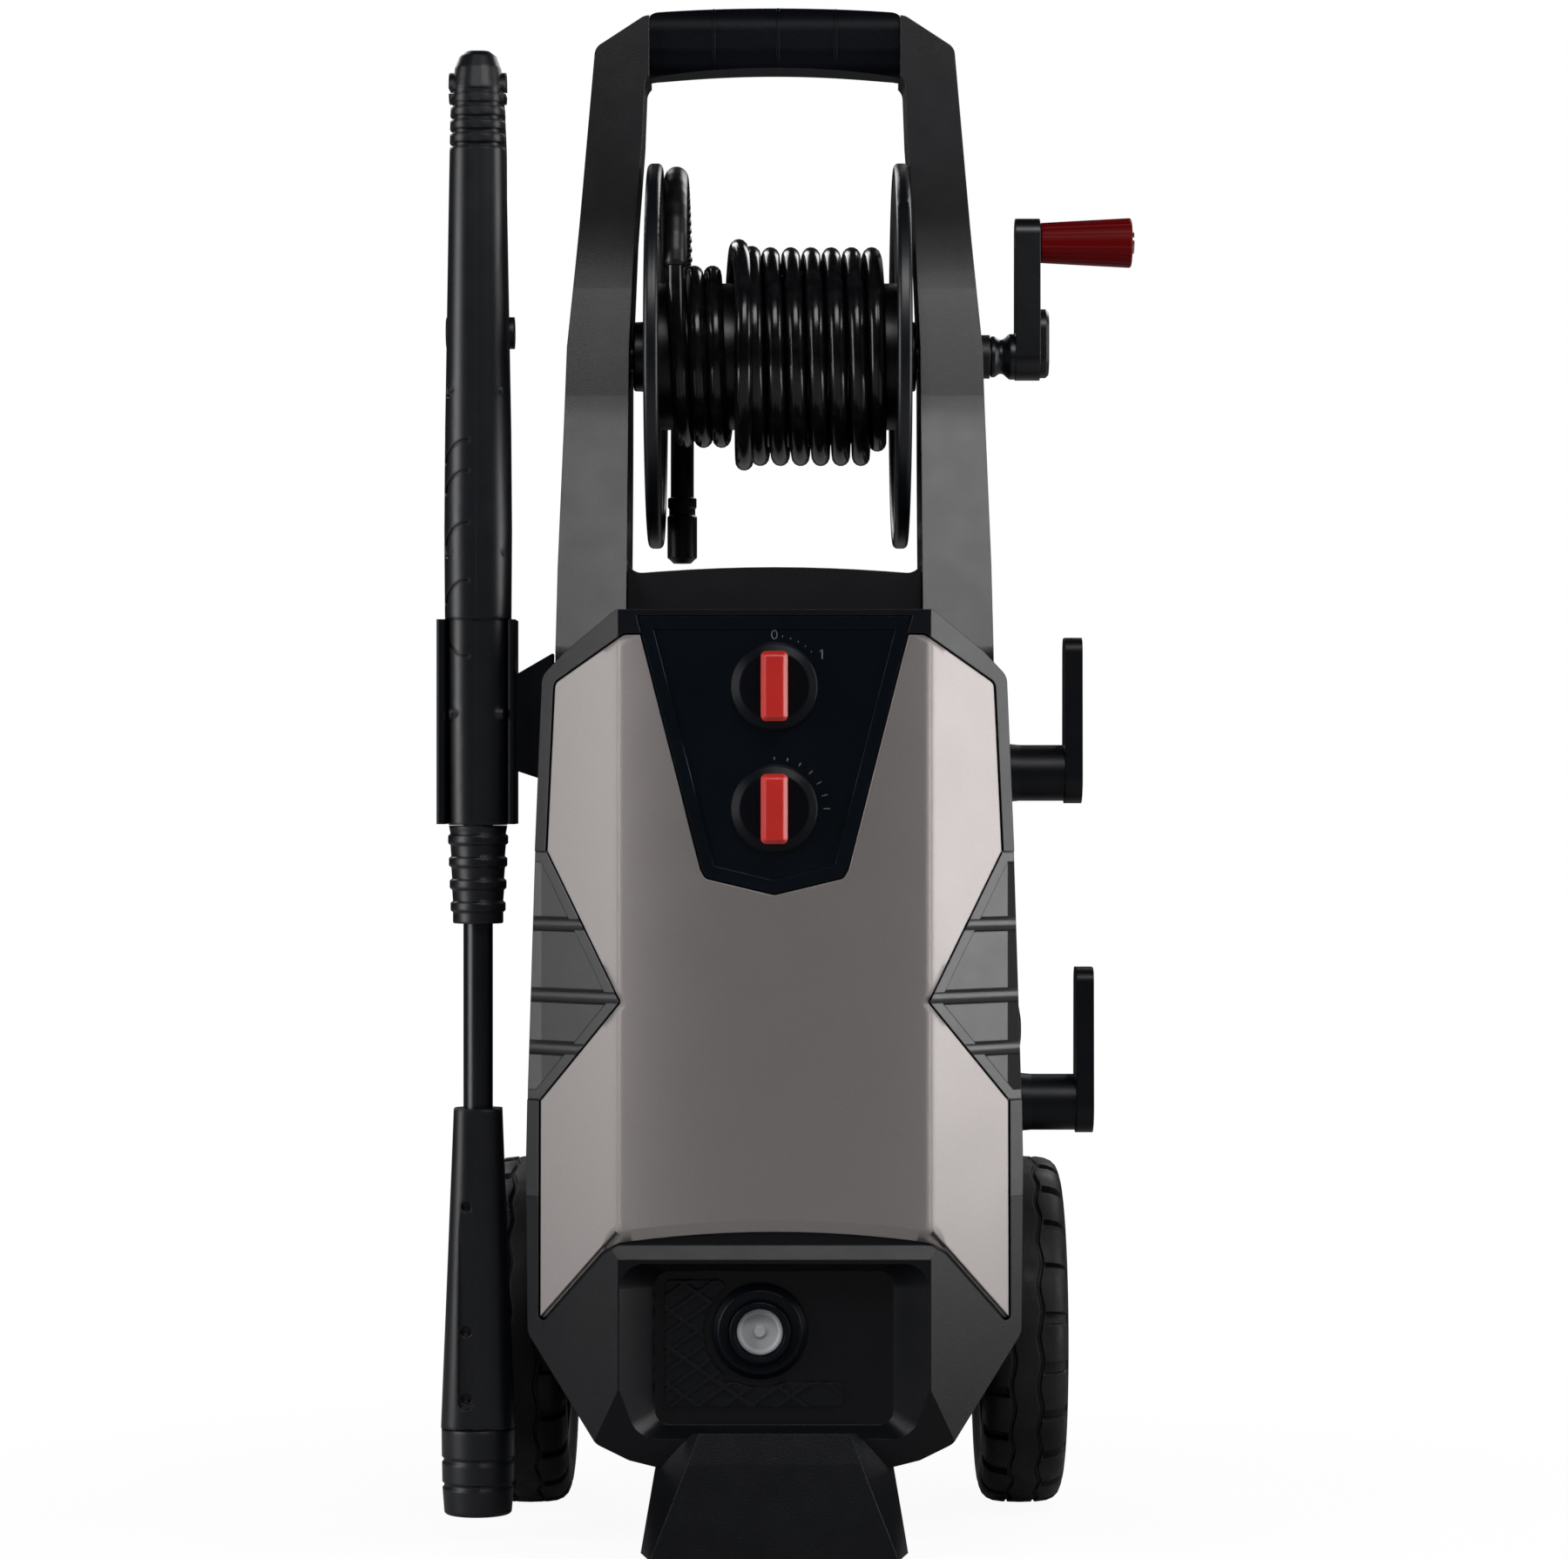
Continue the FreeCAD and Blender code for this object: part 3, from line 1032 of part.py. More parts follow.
def main():
    os.makedirs("parts", exist_ok=True)
    shell, nose = front_shells()
    front, back = handle_halves()
    gun_left, gun_right = gun_halves()
    shroud_left, shroud_right = shroud_halves()
    save("front_shell", shell)
    save("nose_shell", nose)
    save("front_cover", front_cover())
    save("control_panel", control_panel())
    save("right_vent", vent_panel())
    save("left_vent", mirrored(vent_panel()))
    save("nose_grille", nose_grille())
    save("rear_shell", rear_shell())
    save("foot", foot())
    save("handle_front", front)
    save("handle_back", back)
    save("handle_grip", handle_grip())
    save("right_tyre", tyre())
    save("left_tyre", mirrored(tyre()))
    save("right_rim", rim())
    save("left_rim", mirrored(rim()))
    save("right_hub_cap", hub_cap())
    save("left_hub_cap", mirrored(hub_cap()))
    save("wheel_axle", axle())
    save("axle_clips", *axle_clips())
    save("reel_drum", reel_drum())
    save("left_reel_flange", flange(-1))
    save("right_reel_flange", flange(1))
    save("reel_bushes", reel_bush(-1), reel_bush(1))
    save("reel_swivel", reel_swivel())
    save("crank_arm", crank_arm())
    save("crank_cap", crank_cap())
    save("crank_pin", crank_pin())
    save("crank_grip", crank_grip())
    save("hose_winding", hose_winding())
    save("hose_sleeve", pipe(hose_route(), SLEEVE_RADIUS, "hose_sleeve"))
    save("hose_connector", hose_connector())
    save("left_gun_shell", gun_left)
    save("right_gun_shell", gun_right)
    save("gun_fixings", trigger_pin(), *gun_screws())
    save("gun_trigger", trigger())
    save("gun_valve", gun_valve())
    save("lance_collar", lance_collar())
    save("lance_tube", lance_tube())
    save("left_lance_shroud", shroud_left)
    save("right_lance_shroud", shroud_right)
    save("nozzle_sleeve", nozzle_sleeve())
    save("nozzle_tip", nozzle_tip())
    save("gun_holder", gun_holder())
    save("power_dial", dial(POWER_DIAL_Z))
    save("power_pointer", pointer(POWER_DIAL_Z))
    save("flow_dial", dial(FLOW_DIAL_Z))
    save("flow_pointer", pointer(FLOW_DIAL_Z))
    save("upper_hook", hook(UPPER_HOOK_Z))
    save("lower_hook", hook(LOWER_HOOK_Z))
    save("hook_pivots", *hook_pivots())
    save("inlet_socket", inlet_socket())
    save("inlet_collar", inlet_collar())
    save("inlet_filter", inlet_filter())
    save("cable_gland", cable_gland())
    save("pump", pump())
    save("motor_case", motor_case())
    save("motor_rotor", motor_rotor())
    save("feed_pipe", feed_pipe())
    save("dial_units", control_switch(), detergent_valve())


main()
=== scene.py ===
"""Pressure washer: materials, hose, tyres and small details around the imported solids.

Metres. The front looks along -Y, +X is the viewer's right, +Z is up.
"""
import bmesh
import bpy
import math
from mathutils import Matrix, Vector


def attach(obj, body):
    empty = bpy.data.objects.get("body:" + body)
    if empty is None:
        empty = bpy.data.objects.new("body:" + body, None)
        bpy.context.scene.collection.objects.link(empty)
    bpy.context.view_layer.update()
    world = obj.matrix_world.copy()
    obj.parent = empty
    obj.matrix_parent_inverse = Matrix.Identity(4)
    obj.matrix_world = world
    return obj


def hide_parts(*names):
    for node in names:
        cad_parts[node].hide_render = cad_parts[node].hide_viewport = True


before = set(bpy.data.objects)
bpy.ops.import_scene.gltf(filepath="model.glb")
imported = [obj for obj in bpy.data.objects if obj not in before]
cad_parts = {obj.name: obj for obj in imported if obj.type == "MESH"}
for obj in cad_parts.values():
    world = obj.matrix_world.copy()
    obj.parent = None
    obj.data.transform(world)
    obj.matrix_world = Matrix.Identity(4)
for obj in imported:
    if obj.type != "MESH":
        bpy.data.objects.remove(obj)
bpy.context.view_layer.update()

MM = 0.001
TURN = 2 * math.pi
SHARP_ANGLE = math.radians(35)

# Camera
CAMERA_PLACE = (0.0056, -2.628, 0.451)
CAMERA_LENS = 102.8
SENSOR_WIDTH = 36

# Reel and hose. The turns count from the drum's port, and the climb leads from one layer to the next
REEL_Y = 0.105
REEL_Z = 0.709
HOSE_RADIUS = 0.0055
LAYER_ONE = 0.0505
LAYER_TWO = 0.0617
PORT_X = -0.020
PORT_TURN = 0.25
FIRST_TURNS = 7.35
CLIMB_TURNS = 0.5
SECOND_TURNS = 7.15
TURN_POINTS = 16

# The hose's free end, in millimetres from the reel's middle
FREE_END = [
    (-59.6, -52.8, 26), (-59.8, -51.0, 68), (-59.9, -29, 101), (-60.0, 7, 112), (-59.6, 43, 101),
    (-58.9, 65.5, 70), (-58.2, 67.0, 28), (-57.8, 64.8, -18), (-58.0, 65.6, -54), (-58.0, 65.6, -82),
]

# Bend sleeve on the free end
SLEEVE_RADIUS = 0.0073
SLEEVE_LENGTH = 0.318
SLEEVE_STEP = 0.0007
SLEEVE_SIDES = 28
PLAIN_START = 0.085
PLAIN_END = 0.075
RING_PITCH = 0.0062
RING_DEPTH = 0.0008
SLEEVE_LIP = 0.0006

# Wheels. The zigzag runs round the tread's centre band
AXLE_Y = 0.175
WHEEL_RADIUS = 0.1075
TYRE_MIDDLE = 0.152
LUGS = 22
CENTRE_BAND = 0.0108
ZIGZAG = 0.0012

# Half section of the tyre: distance from its middle, radius and the depth of the tread grooves there
TYRE_SECTION = [
    (0.0210, 0.0792, 0.0), (0.0245, 0.0830, 0.0), (0.0258, 0.0880, 0.0), (0.0260, 0.0920, 0.0),
    (0.0256, 0.0950, 0.0), (0.0250, 0.0962, 0.0), (0.0247, 0.0985, 0.0028), (0.0232, 0.1020, 0.0040),
    (0.0205, 0.1047, 0.0045), (0.0165, 0.1064, 0.0045), (0.0105, 0.1072, 0.0045), (0.0098, 0.1072, 0.0),
    (0.0092, 0.1055, 0.0), (0.0074, 0.1055, 0.0), (0.0068, 0.1073, 0.0), (0.0, 0.1075, 0.0),
]

# Where a lug's columns of vertices stand and where its groove runs, as shares of the lug
LUG_COLUMNS = (0.0, 0.03, 0.22, 0.25, 0.38, 0.5, 0.53, 0.72, 0.75, 0.88)
GROOVE = (0.02, 0.23)

# Housing and gun. The cover's crown drops by CROWN times the square of the distance from its middle
FRONT_Y = -0.028
CREASE_X = 0.091
CREASE_WIDTH = 0.0006
FACET_ANGLE = math.radians(40)
CROWN = 1.9
GUN_X = -0.1765

# Where the painted shade on the housing's front fades, in distance behind the front
PAINTED_SHADE_FADE = (0.052, 0.054)

# Vents: depths below the slanted facets, where shade is painted in the gaps, and where their outer strips of
# painted light and shade start
BELOW_FACE = (0.00066, 0.00080)
AT_BASE = (0.00185, 0.00196)
STRIP_X = (0.1372, 0.1378)

# Dials and the marks printed round them
POWER_DIAL_Z = 0.505
FLOW_DIAL_Z = 0.434
POWER_ON = math.radians(56)
FLOW_TICK = math.radians(15)
PANEL_FACE_Y = -0.0258
PRINT_RISE = 0.00012
PRINT_SINK = 0.0002
ZERO_REACH = 0.0302
ZERO_HALF_WIDTH = 0.0019
ZERO_STROKE = 0.0006
ONE_REACH = 0.0335
STEM_HALF_WIDTH = 0.0004
DIGIT_HALF_HEIGHT = 0.0028

# Screws on the back
SCREW_RADIUS = 0.0038
SCREW_HEIGHT = 0.0015
SLOT_BOTTOM = 0.0003
BEHIND_Y = 0.4
SHELL_SCREW_X = 0.098
SHELL_SCREWS_Z = (0.160, 0.300, 0.470)
HANDLE_SCREW_X = 0.104
HANDLE_SCREWS_Z = (0.600, 0.760, 0.850)

# Colours
GREY = (0.011, 0.011, 0.013)
BLACK = (0.0026, 0.0033, 0.0056)
NOSE_BLACK = (0.0040, 0.0044, 0.0060)
PANEL_BLACK = (0.0022, 0.0044, 0.0078)
COVER_GREY = (0.300, 0.275, 0.269)
# painted highlight on the left vent's outer strip
PAINTED_STRIP_HIGHLIGHT = (0.060, 0.060, 0.064)
FILTER_GREY = (0.46, 0.47, 0.49)
POINTER_RED = (0.57, 0.022, 0.018)
CRANK_RED = (0.135, 0.0004, 0.0012)
PRINT = (0.11, 0.12, 0.14)
STEEL = (0.55, 0.55, 0.56)
SCREW_STEEL = (0.10, 0.10, 0.105)
BRASS = (0.62, 0.44, 0.18)
CAST = (0.5, 0.5, 0.52)
IRON = (0.2, 0.2, 0.2)
WHITE = (1, 1, 1, 1)

# Floor: its grey as the camera sees it and as it lights the object, and where its shadows fade out
FLOOR_SEEN = (0.85, 0.85, 0.85, 1)
FLOOR_BOUNCE = (0.40, 0.40, 0.40, 1)
FLOOR_HALF = 14.0
FLOOR_GAP = 0.0005
FLOOR_GLOW = 1.02
GLOW_SHARE = 0.92
SHADOW_FADE = (0.45, 1.1)
WORLD_LIGHT = 0.02

# Softboxes: name, place, target, size and watts
LIGHTS = [
    ("right_softbox", (1.9, -0.40, 0.70), (0, 0.05, 0.60), (0.8, 1.9), 27),
    ("left_softbox", (-1.75, -0.80, 0.70), (0, 0.05, 0.60), (0.8, 1.9), 27),
    ("top_softbox", (0.50, -1.80, 2.28), (0, 0.05, 0.60), (1.8, 0.7), 26),
    ("back_left_softbox", (-1.10, 1.95, 1.95), (0, 0.10, 0.50), (1.3, 1.1), 18),
    ("back_right_softbox", (1.20, 1.90, 1.95), (0, 0.10, 0.50), (1.3, 1.1), 18),
]


# Camera and light
def linked(name, data):
    """A new object of its data, in the scene."""
    made = bpy.data.objects.new(name, data)
    bpy.context.scene.collection.objects.link(made)
    return made


def set_camera():
    camera = linked("camera", bpy.data.cameras.new("camera"))
    camera.location = CAMERA_PLACE
    camera.rotation_euler = (math.radians(90), 0, 0)
    camera.data.lens = CAMERA_LENS
    camera.data.sensor_width = SENSOR_WIDTH
    bpy.context.scene.camera = camera


def area_light(name, place, target, size, energy):
    light = bpy.data.lights.new(name, "AREA")
    light.shape = "RECTANGLE"
    light.size, light.size_y = size
    light.energy = energy
    lamp = linked(name, light)
    lamp.location = place
    aim = Vector(target) - Vector(place)
    lamp.rotation_euler = aim.to_track_quat("-Z", "Y").to_euler()


# Shader helpers
def put(tree, socket, value):
    """Links a socket to a value's socket, or sets it to a plain value."""
    if isinstance(value, bpy.types.NodeSocket):
        tree.links.new(value, socket)
    else:
        socket.default_value = value


def add(tree, kind, settings=None, **inputs):
    """A node of a kind, with its settings and its input sockets filled or linked."""
    node = tree.nodes.new("ShaderNode" + kind)
    for key, value in (settings or {}).items():
        setattr(node, key, value)
    for key, value in inputs.items():
        put(tree, node.inputs[key.replace("_", " ")], value)
    return node


def calc(tree, operation, first, second=None):
    node = add(tree, "Math", {"operation": operation})
    put(tree, node.inputs[0], first)
    if second is not None:
        put(tree, node.inputs[1], second)
    return node.outputs[0]


def material(name, roughness, metallic=0.0, coat=0.0, shine=0.5):
    """A new material with its node tree and its shader."""
    made = bpy.data.materials.new(name)
    made.use_nodes = True
    shader = made.node_tree.nodes["Principled BSDF"]
    shader.inputs["Roughness"].default_value = roughness
    shader.inputs["Metallic"].default_value = metallic
    shader.inputs["Coat Weight"].default_value = coat
    shader.inputs["Coat Roughness"].default_value = 0.08
    shader.inputs["Specular IOR Level"].default_value = shine
    return made, made.node_tree, shader


def surface(tree, shader, color, roughness, normal):
    """Links what varies over a surface to its shader."""
    put(tree, shader.inputs["Base Color"], color)
    put(tree, shader.inputs["Roughness"], roughness)
    put(tree, shader.inputs["Normal"], normal)


def shade(color, factor=1.0):
    """A colour made lighter or darker, with its alpha."""
    return tuple(c * factor for c in color[:3]) + (1.0,)


def noise(tree, scale, detail=2.0, stretch=None):
    """Noise in the object's own space. The stretch is a scale for each axis."""
    place = add(tree, "TexCoord").outputs["Object"]
    if stretch:
        place = add(tree, "Mapping", Vector=place, Scale=stretch).outputs["Vector"]
    return add(tree, "TexNoise", Vector=place, Scale=scale, Detail=detail).outputs["Fac"]


def ramp(tree, value, low, high, first, last):
    """Colours first to last as value goes from low to high."""
    node = add(tree, "ValToRGB", Fac=value)
    for element, position, color in zip(node.color_ramp.elements, (low, high), (first, last)):
        element.position = position
        element.color = color
    return node.outputs["Color"]


def spread(tree, value, low, high, start=0.0, end=1.0):
    """A value's stretch start to end spread over low to high."""
    node = add(tree, "MapRange", Value=value, From_Min=start, From_Max=end, To_Min=low, To_Max=high)
    return node.outputs["Result"]


def mixed(tree, factor, first, second):
    """Two colours mixed: the first at factor 0, the second at 1."""
    node = add(tree, "Mix", {"data_type": "RGBA"})
    for socket, value in zip((node.inputs[0], node.inputs[6], node.inputs[7]), (factor, first, second)):
        put(tree, socket, value)
    return node.outputs[2]


def bumped(tree, strength, distance, height, normal=None):
    """A normal tilted by a height."""
    node = add(tree, "Bump", Strength=strength, Distance=distance, Height=height)
    if normal is not None:
        put(tree, node.inputs["Normal"], normal)
    return node.outputs["Normal"]


def edges(tree, radius):
    """The rounded normal, and how much a spot lies on an edge."""
    rounded = add(tree, "Bevel", {"samples": 4}, Radius=radius).outputs["Normal"]
    flat = add(tree, "NewGeometry").outputs["Normal"]
    dot = add(tree, "VectorMath", {"operation": "DOT_PRODUCT"})
    put(tree, dot.inputs[0], rounded)
    put(tree, dot.inputs[1], flat)
    return rounded, spread(tree, dot.outputs["Value"], 0.0, 1.0, 0.985, 0.8)


def seen_directly(tree):
    """1 for the camera's rays and rays through glass, 0 for light that bounces."""
    paths = add(tree, "LightPath").outputs
    return calc(tree, "MAXIMUM", paths["Is Camera Ray"], paths["Is Transmission Ray"])


# Where a spot of the surface lies
def spot(tree):
    """A spot's X, Y and Z."""
    return add(tree, "SeparateXYZ", Vector=add(tree, "TexCoord").outputs["Object"]).outputs


def axis_distance(tree, axis, place):
    """How far a spot lies from a plane across an axis."""
    return calc(tree, "ABSOLUTE", calc(tree, "SUBTRACT", spot(tree)[axis], place))


def front_shade_mask(tree):
    """Where shade is painted: 1 between the upright creases of the housing's front, and 0 elsewhere."""
    inside = spread(tree, axis_distance(tree, "X", 0), 1.0, 0.0, CREASE_X - CREASE_WIDTH, CREASE_X)
    near = spread(tree, axis_distance(tree, "Y", FRONT_Y), 1.0, 0.0, *PAINTED_SHADE_FADE)
    return calc(tree, "MULTIPLY", inside, near)


def crease_radius(tree):
    """Edge rounding: 6 mm along the two upright creases, 1 mm from 9 mm beside them."""
    right = axis_distance(tree, "X", CREASE_X)
    left = axis_distance(tree, "X", -CREASE_X)
    return spread(tree, calc(tree, "MINIMUM", right, left), 0.0060, 0.0010, 0.0070, 0.0090)


def crown(tree):
    """Height of the cover's slight crown between its two upright creases."""
    near = calc(tree, "MINIMUM", axis_distance(tree, "X", 0), CREASE_X)
    return calc(tree, "MULTIPLY", calc(tree, "POWER", near, 2.0), -CROWN)


def seam_radius(tree):
    """Edge rounding of the gun: 2.5 mm, and nearly none along the seam of its two shells."""
    return spread(tree, axis_distance(tree, "X", GUN_X), 0.0001, 0.0025, 0.0015, 0.0035)


def facet_depth(tree):
    """How deep a spot lies below the plane of the housing's slanted front facets."""
    across, back, _ = spot(tree)
    beside = calc(tree, "SUBTRACT", calc(tree, "ABSOLUTE", across), CREASE_X)
    behind = calc(tree, "SUBTRACT", back, FRONT_Y)
    outward = calc(tree, "MULTIPLY", beside, math.sin(FACET_ANGLE))
    return calc(tree, "SUBTRACT", calc(tree, "MULTIPLY", behind, math.cos(FACET_ANGLE)), outward)


# Materials
def moulded(name, color, roughness, grain=0.2, grain_scale=1100.0, bevel=0.0008, coat=0.0, edge=1.5,
            shine=0.5, painted_shade_middle=False):
    """Moulded plastic: soft colour variation, fine grain, rounded edges that catch light.

    The bevel is a radius, or a function that makes one in the node tree. The edge is how much
    brighter the colour is painted on edges, as wear and painted highlight.
    """
    made, tree, shader = material(name, roughness, 0.0, coat, shine)
    tint = ramp(tree, noise(tree, 14.0), 0.35, 0.65, shade(color, 0.92), shade(color, 1.08))
    # painted shade: the housing's front between its creases is coloured black
    if painted_shade_middle:
        tint = mixed(tree, front_shade_mask(tree), tint, shade(BLACK))
    rounded, edge_wear_and_highlight = edges(tree, bevel(tree) if callable(bevel) else bevel)
    uneven = spread(tree, noise(tree, 60.0), roughness - 0.015, roughness + 0.015, 0.3, 0.7)
    # edges painted lighter: wear and painted highlight
    surface(tree, shader, mixed(tree, edge_wear_and_highlight, tint, shade(color, edge)), uneven,
            bumped(tree, grain, 0.0003, noise(tree, grain_scale), rounded))
    return made


def vent_plastic():
    """Housing plastic with painted shade in the gaps along the bars, a painted highlight on the left outer
    strip and painted shade on the right one.
    """
    made = moulded("vent_plastic", GREY, 0.34, shine=0.7)
    tree = made.node_tree
    shader = tree.nodes["Principled BSDF"]
    depth = facet_depth(tree)
    across = spot(tree)["X"]
    below_face = spread(tree, depth, 0.0, 1.0, *BELOW_FACE)
    painted_gap_shade = calc(tree, "MULTIPLY", below_face, spread(tree, depth, 1.0, 0.0, *AT_BASE))
    at_base = spread(tree, depth, 0.0, 1.0, *AT_BASE)
    outside = spread(tree, calc(tree, "ABSOLUTE", across), 0.0, 1.0, *STRIP_X)
    strip = calc(tree, "MULTIPLY", at_base, outside)
    right = spread(tree, across, 0.0, 1.0, -0.001, 0.001)
    tint = shader.inputs["Base Color"].links[0].from_socket
    rough = shader.inputs["Roughness"].links[0].from_socket
    # the outer strip: painted highlight on the left vent, painted shade on the right
    edge = mixed(tree, right, shade(PAINTED_STRIP_HIGHLIGHT), shade(BLACK, 0.5))
    # painted shade in the gaps along the bars
    dark = mixed(tree, painted_gap_shade, mixed(tree, strip, tint, edge), shade(BLACK, 0.3))
    put(tree, shader.inputs["Base Color"], dark)
    dull = calc(tree, "MAXIMUM", painted_gap_shade, calc(tree, "MULTIPLY", strip, right))
    put(tree, shader.inputs["Roughness"], calc(tree, "MAXIMUM", rough, calc(tree, "MULTIPLY", dull, 0.9)))
    return made


def cover_paint():
    """Warm grey satin paint with a fine metallic flake, on a slightly crowned cover."""
    made, tree, shader = material("cover_paint", 0.38, 0.55)
    flake = ramp(tree, noise(tree, 2600.0, 1.0), 0.35, 0.75, shade(COVER_GREY, 0.93), shade(COVER_GREY, 1.1))
    rounded, edge_wear_and_highlight = edges(tree, crease_radius(tree))
    crowned = bumped(tree, 1.0, 1.0, crown(tree), rounded)
    # edges and creases painted lighter: wear and painted highlight
    surface(tree, shader, mixed(tree, edge_wear_and_highlight, flake, shade(COVER_GREY, 1.1)),
            spread(tree, noise(tree, 30.0), 0.37, 0.39, 0.3, 0.7),
            bumped(tree, 0.06, 0.0002, noise(tree, 1800.0), crowned))
    return made


def tyre_rubber():
    """Dusty black rubber, a little lighter along its edges."""
    made, tree, shader = material("tyre_rubber", 0.5, shine=0.25)
    dark, dust = (0.005, 0.005, 0.006, 1), (0.012, 0.012, 0.014, 1)
    dusty = ramp(tree, noise(tree, 35.0, 4.0), 0.4, 0.75, dark, dust)
    rounded, edge_wear_and_highlight = edges(tree, 0.0009)
    surface(tree, shader, mixed(tree, edge_wear_and_highlight, dusty, (0.018, 0.018, 0.020, 1)),
            spread(tree, noise(tree, 90.0), 0.45, 0.65, 0.3, 0.7),
            bumped(tree, 0.35, 0.0004, noise(tree, 700.0, 3.0), rounded))
    return made


def hose_rubber(name, roughness):
    """Black rubber with faint scuffs."""
    made, tree, shader = material(name, roughness, shine=0.4)
    dark, scuffed = (0.004, 0.004, 0.005, 1), (0.012, 0.012, 0.014, 1)
    surface(tree, shader, ramp(tree, noise(tree, 130.0, 4.0), 0.45, 0.8, dark, scuffed),
            spread(tree, noise(tree, 220.0), roughness - 0.08, roughness + 0.1),
            bumped(tree, 0.15, 0.0002, noise(tree, 900.0)))
    return made


def metal(name, color, roughness, grain=0.12):
    """Machined or cast metal with faint marks round the upright axis."""
    made, tree, shader = material(name, roughness, 1.0)
    surface(tree, shader, ramp(tree, noise(tree, 40.0, 3.0), 0.3, 0.7, shade(color, 0.88), shade(color, 1.1)),
            spread(tree, noise(tree, 150.0), roughness - 0.08, roughness + 0.08),
            bumped(tree, grain, 0.0002, noise(tree, 500.0, 2.0, (1.0, 1.0, 6.0))))
    return made


def dress(made, *names):
    """Puts a material on CAD nodes."""
    for name in names:
        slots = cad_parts[name].data.materials
        slots.clear()
        slots.append(made)


def dress_nodes():
    # Housing and handle
    dress(cover_paint(), "front_cover")
    # the housing's front between its creases gets painted shade
    dress(moulded("housing_plastic", GREY, 0.32, shine=0.42, painted_shade_middle=True), "front_shell", "rear_shell")
    dress(moulded("nose_plastic", NOSE_BLACK, 0.30, shine=0.25), "nose_shell", "foot")
    dress(vent_plastic(), "right_vent", "left_vent")
    dress(moulded("grille_plastic", BLACK, 0.36, shine=0.3), "nose_grille")
    dress(moulded("panel_gloss", PANEL_BLACK, 0.2, 0.02, bevel=0.0003, coat=0.3, edge=1.1), "control_panel")
    dress(moulded("frame_plastic", GREY, 0.30, 0.12), "handle_front", "handle_back")
    dress(moulded("grip_rubber", BLACK, 0.38, 0.4, 1500.0, edge=1.2, shine=0.1), "handle_grip")

    # Wheels and reel
    dress(moulded("rim_plastic", BLACK, 0.35, shine=0.25),
          "right_rim", "left_rim", "right_hub_cap", "left_hub_cap")
    dress(metal("steel", STEEL, 0.32), "wheel_axle", "axle_clips", "crank_pin", "gun_fixings")
    dress(moulded("reel_plastic", BLACK, 0.34, 0.08),
          "reel_drum", "left_reel_flange", "right_reel_flange", "crank_arm", "crank_cap")
    dress(moulded("bush_plastic", BLACK, 0.45), "reel_bushes")
    dress(metal("brass", BRASS, 0.3), "reel_swivel", "feed_pipe", "gun_valve", "nozzle_tip")
    dress(moulded("crank_grip_plastic", CRANK_RED, 0.38, 0.1, shine=0.12), "crank_grip")
    dress(moulded("fitting_plastic", BLACK, 0.35), "hose_connector", "cable_gland")

    # Gun and lance
    dress(moulded("gun_plastic", BLACK, 0.38, 0.12, bevel=seam_radius, edge=1.2),
          "left_gun_shell", "right_gun_shell", "lance_collar", "left_lance_shroud", "right_lance_shroud",
          "nozzle_sleeve")
    dress(moulded("trigger_plastic", BLACK, 0.42), "gun_trigger")
    dress(moulded("lance_paint", BLACK, 0.3, 0.05), "lance_tube")
    dress(moulded("holder_plastic", BLACK, 0.38, shine=0.2), "gun_holder")

    # Controls, hooks, water inlet and the inside
    dress(moulded("dial_plastic", BLACK, 0.35, 0.03, edge=1.1, shine=0.15), "power_dial", "flow_dial")
    # the pointers' edges are painted much lighter: painted highlight
    dress(moulded("pointer_red", POINTER_RED, 0.30, 0.05, bevel=0.0016, edge=1.9, shine=0.8),
          "power_pointer", "flow_pointer")
    dress(moulded("hook_plastic", BLACK, 0.38, shine=0.25), "upper_hook", "lower_hook", "hook_pivots")
    dress(moulded("inlet_plastic", BLACK, 0.32, shine=0.15), "inlet_socket", "inlet_collar")
    dress(moulded("filter_plastic", FILTER_GREY, 0.5, 0.3), "inlet_filter")
    dress(metal("cast_metal", CAST, 0.5, 0.4), "pump", "motor_case")
    dress(metal("rotor_iron", IRON, 0.45), "motor_rotor")
    dress(moulded("unit_plastic", GREY, 0.5), "dial_units")


# Mesh helpers
def join_rings(bm, rings):
    """Faces between each ring of vertices and the next."""
    for low, high in zip(rings, rings[1:]):
        for i in range(len(low)):
            k = (i + 1) % len(low)
            bm.faces.new((low[i], low[k], high[k], high[i]))


def loop_edges(bm, ring):
    """The edges round a ring of vertices."""
    return [bm.edges.get(pair) for pair in zip(ring, ring[1:] + ring[:1])]


def slab(bm, outline, front, back):
    """A flat solid over an (x, z) outline, between two y planes."""
    near = [bm.verts.new((x, front, z)) for x, z in outline]
    far = [bm.verts.new((x, back, z)) for x, z in outline]
    bm.faces.new(near)
    bm.faces.new(list(reversed(far)))
    join_rings(bm, [near, far])


def tube(points, radii):
    """A closed tube along points, with a radius at each."""
    bm = bmesh.new()
    rings = []
    across = None
    for i, point in enumerate(points):
        ahead = (points[min(i + 1, len(points) - 1)] - points[max(i - 1, 0)]).normalized()
        if across is None:
            across = ahead.orthogonal().normalized()
        across = (across - ahead * across.dot(ahead)).normalized()
        other = ahead.cross(across)
        ring = []
        for k in range(SLEEVE_SIDES):
            angle = TURN * k / SLEEVE_SIDES
            outward = across * math.cos(angle) + other * math.sin(angle)
            ring.append(bm.verts.new(point + outward * radii[i]))
        rings.append(ring)
    join_rings(bm, rings)
    bm.faces.new(list(reversed(rings[0])))
    bm.faces.new(rings[-1])
    return bm


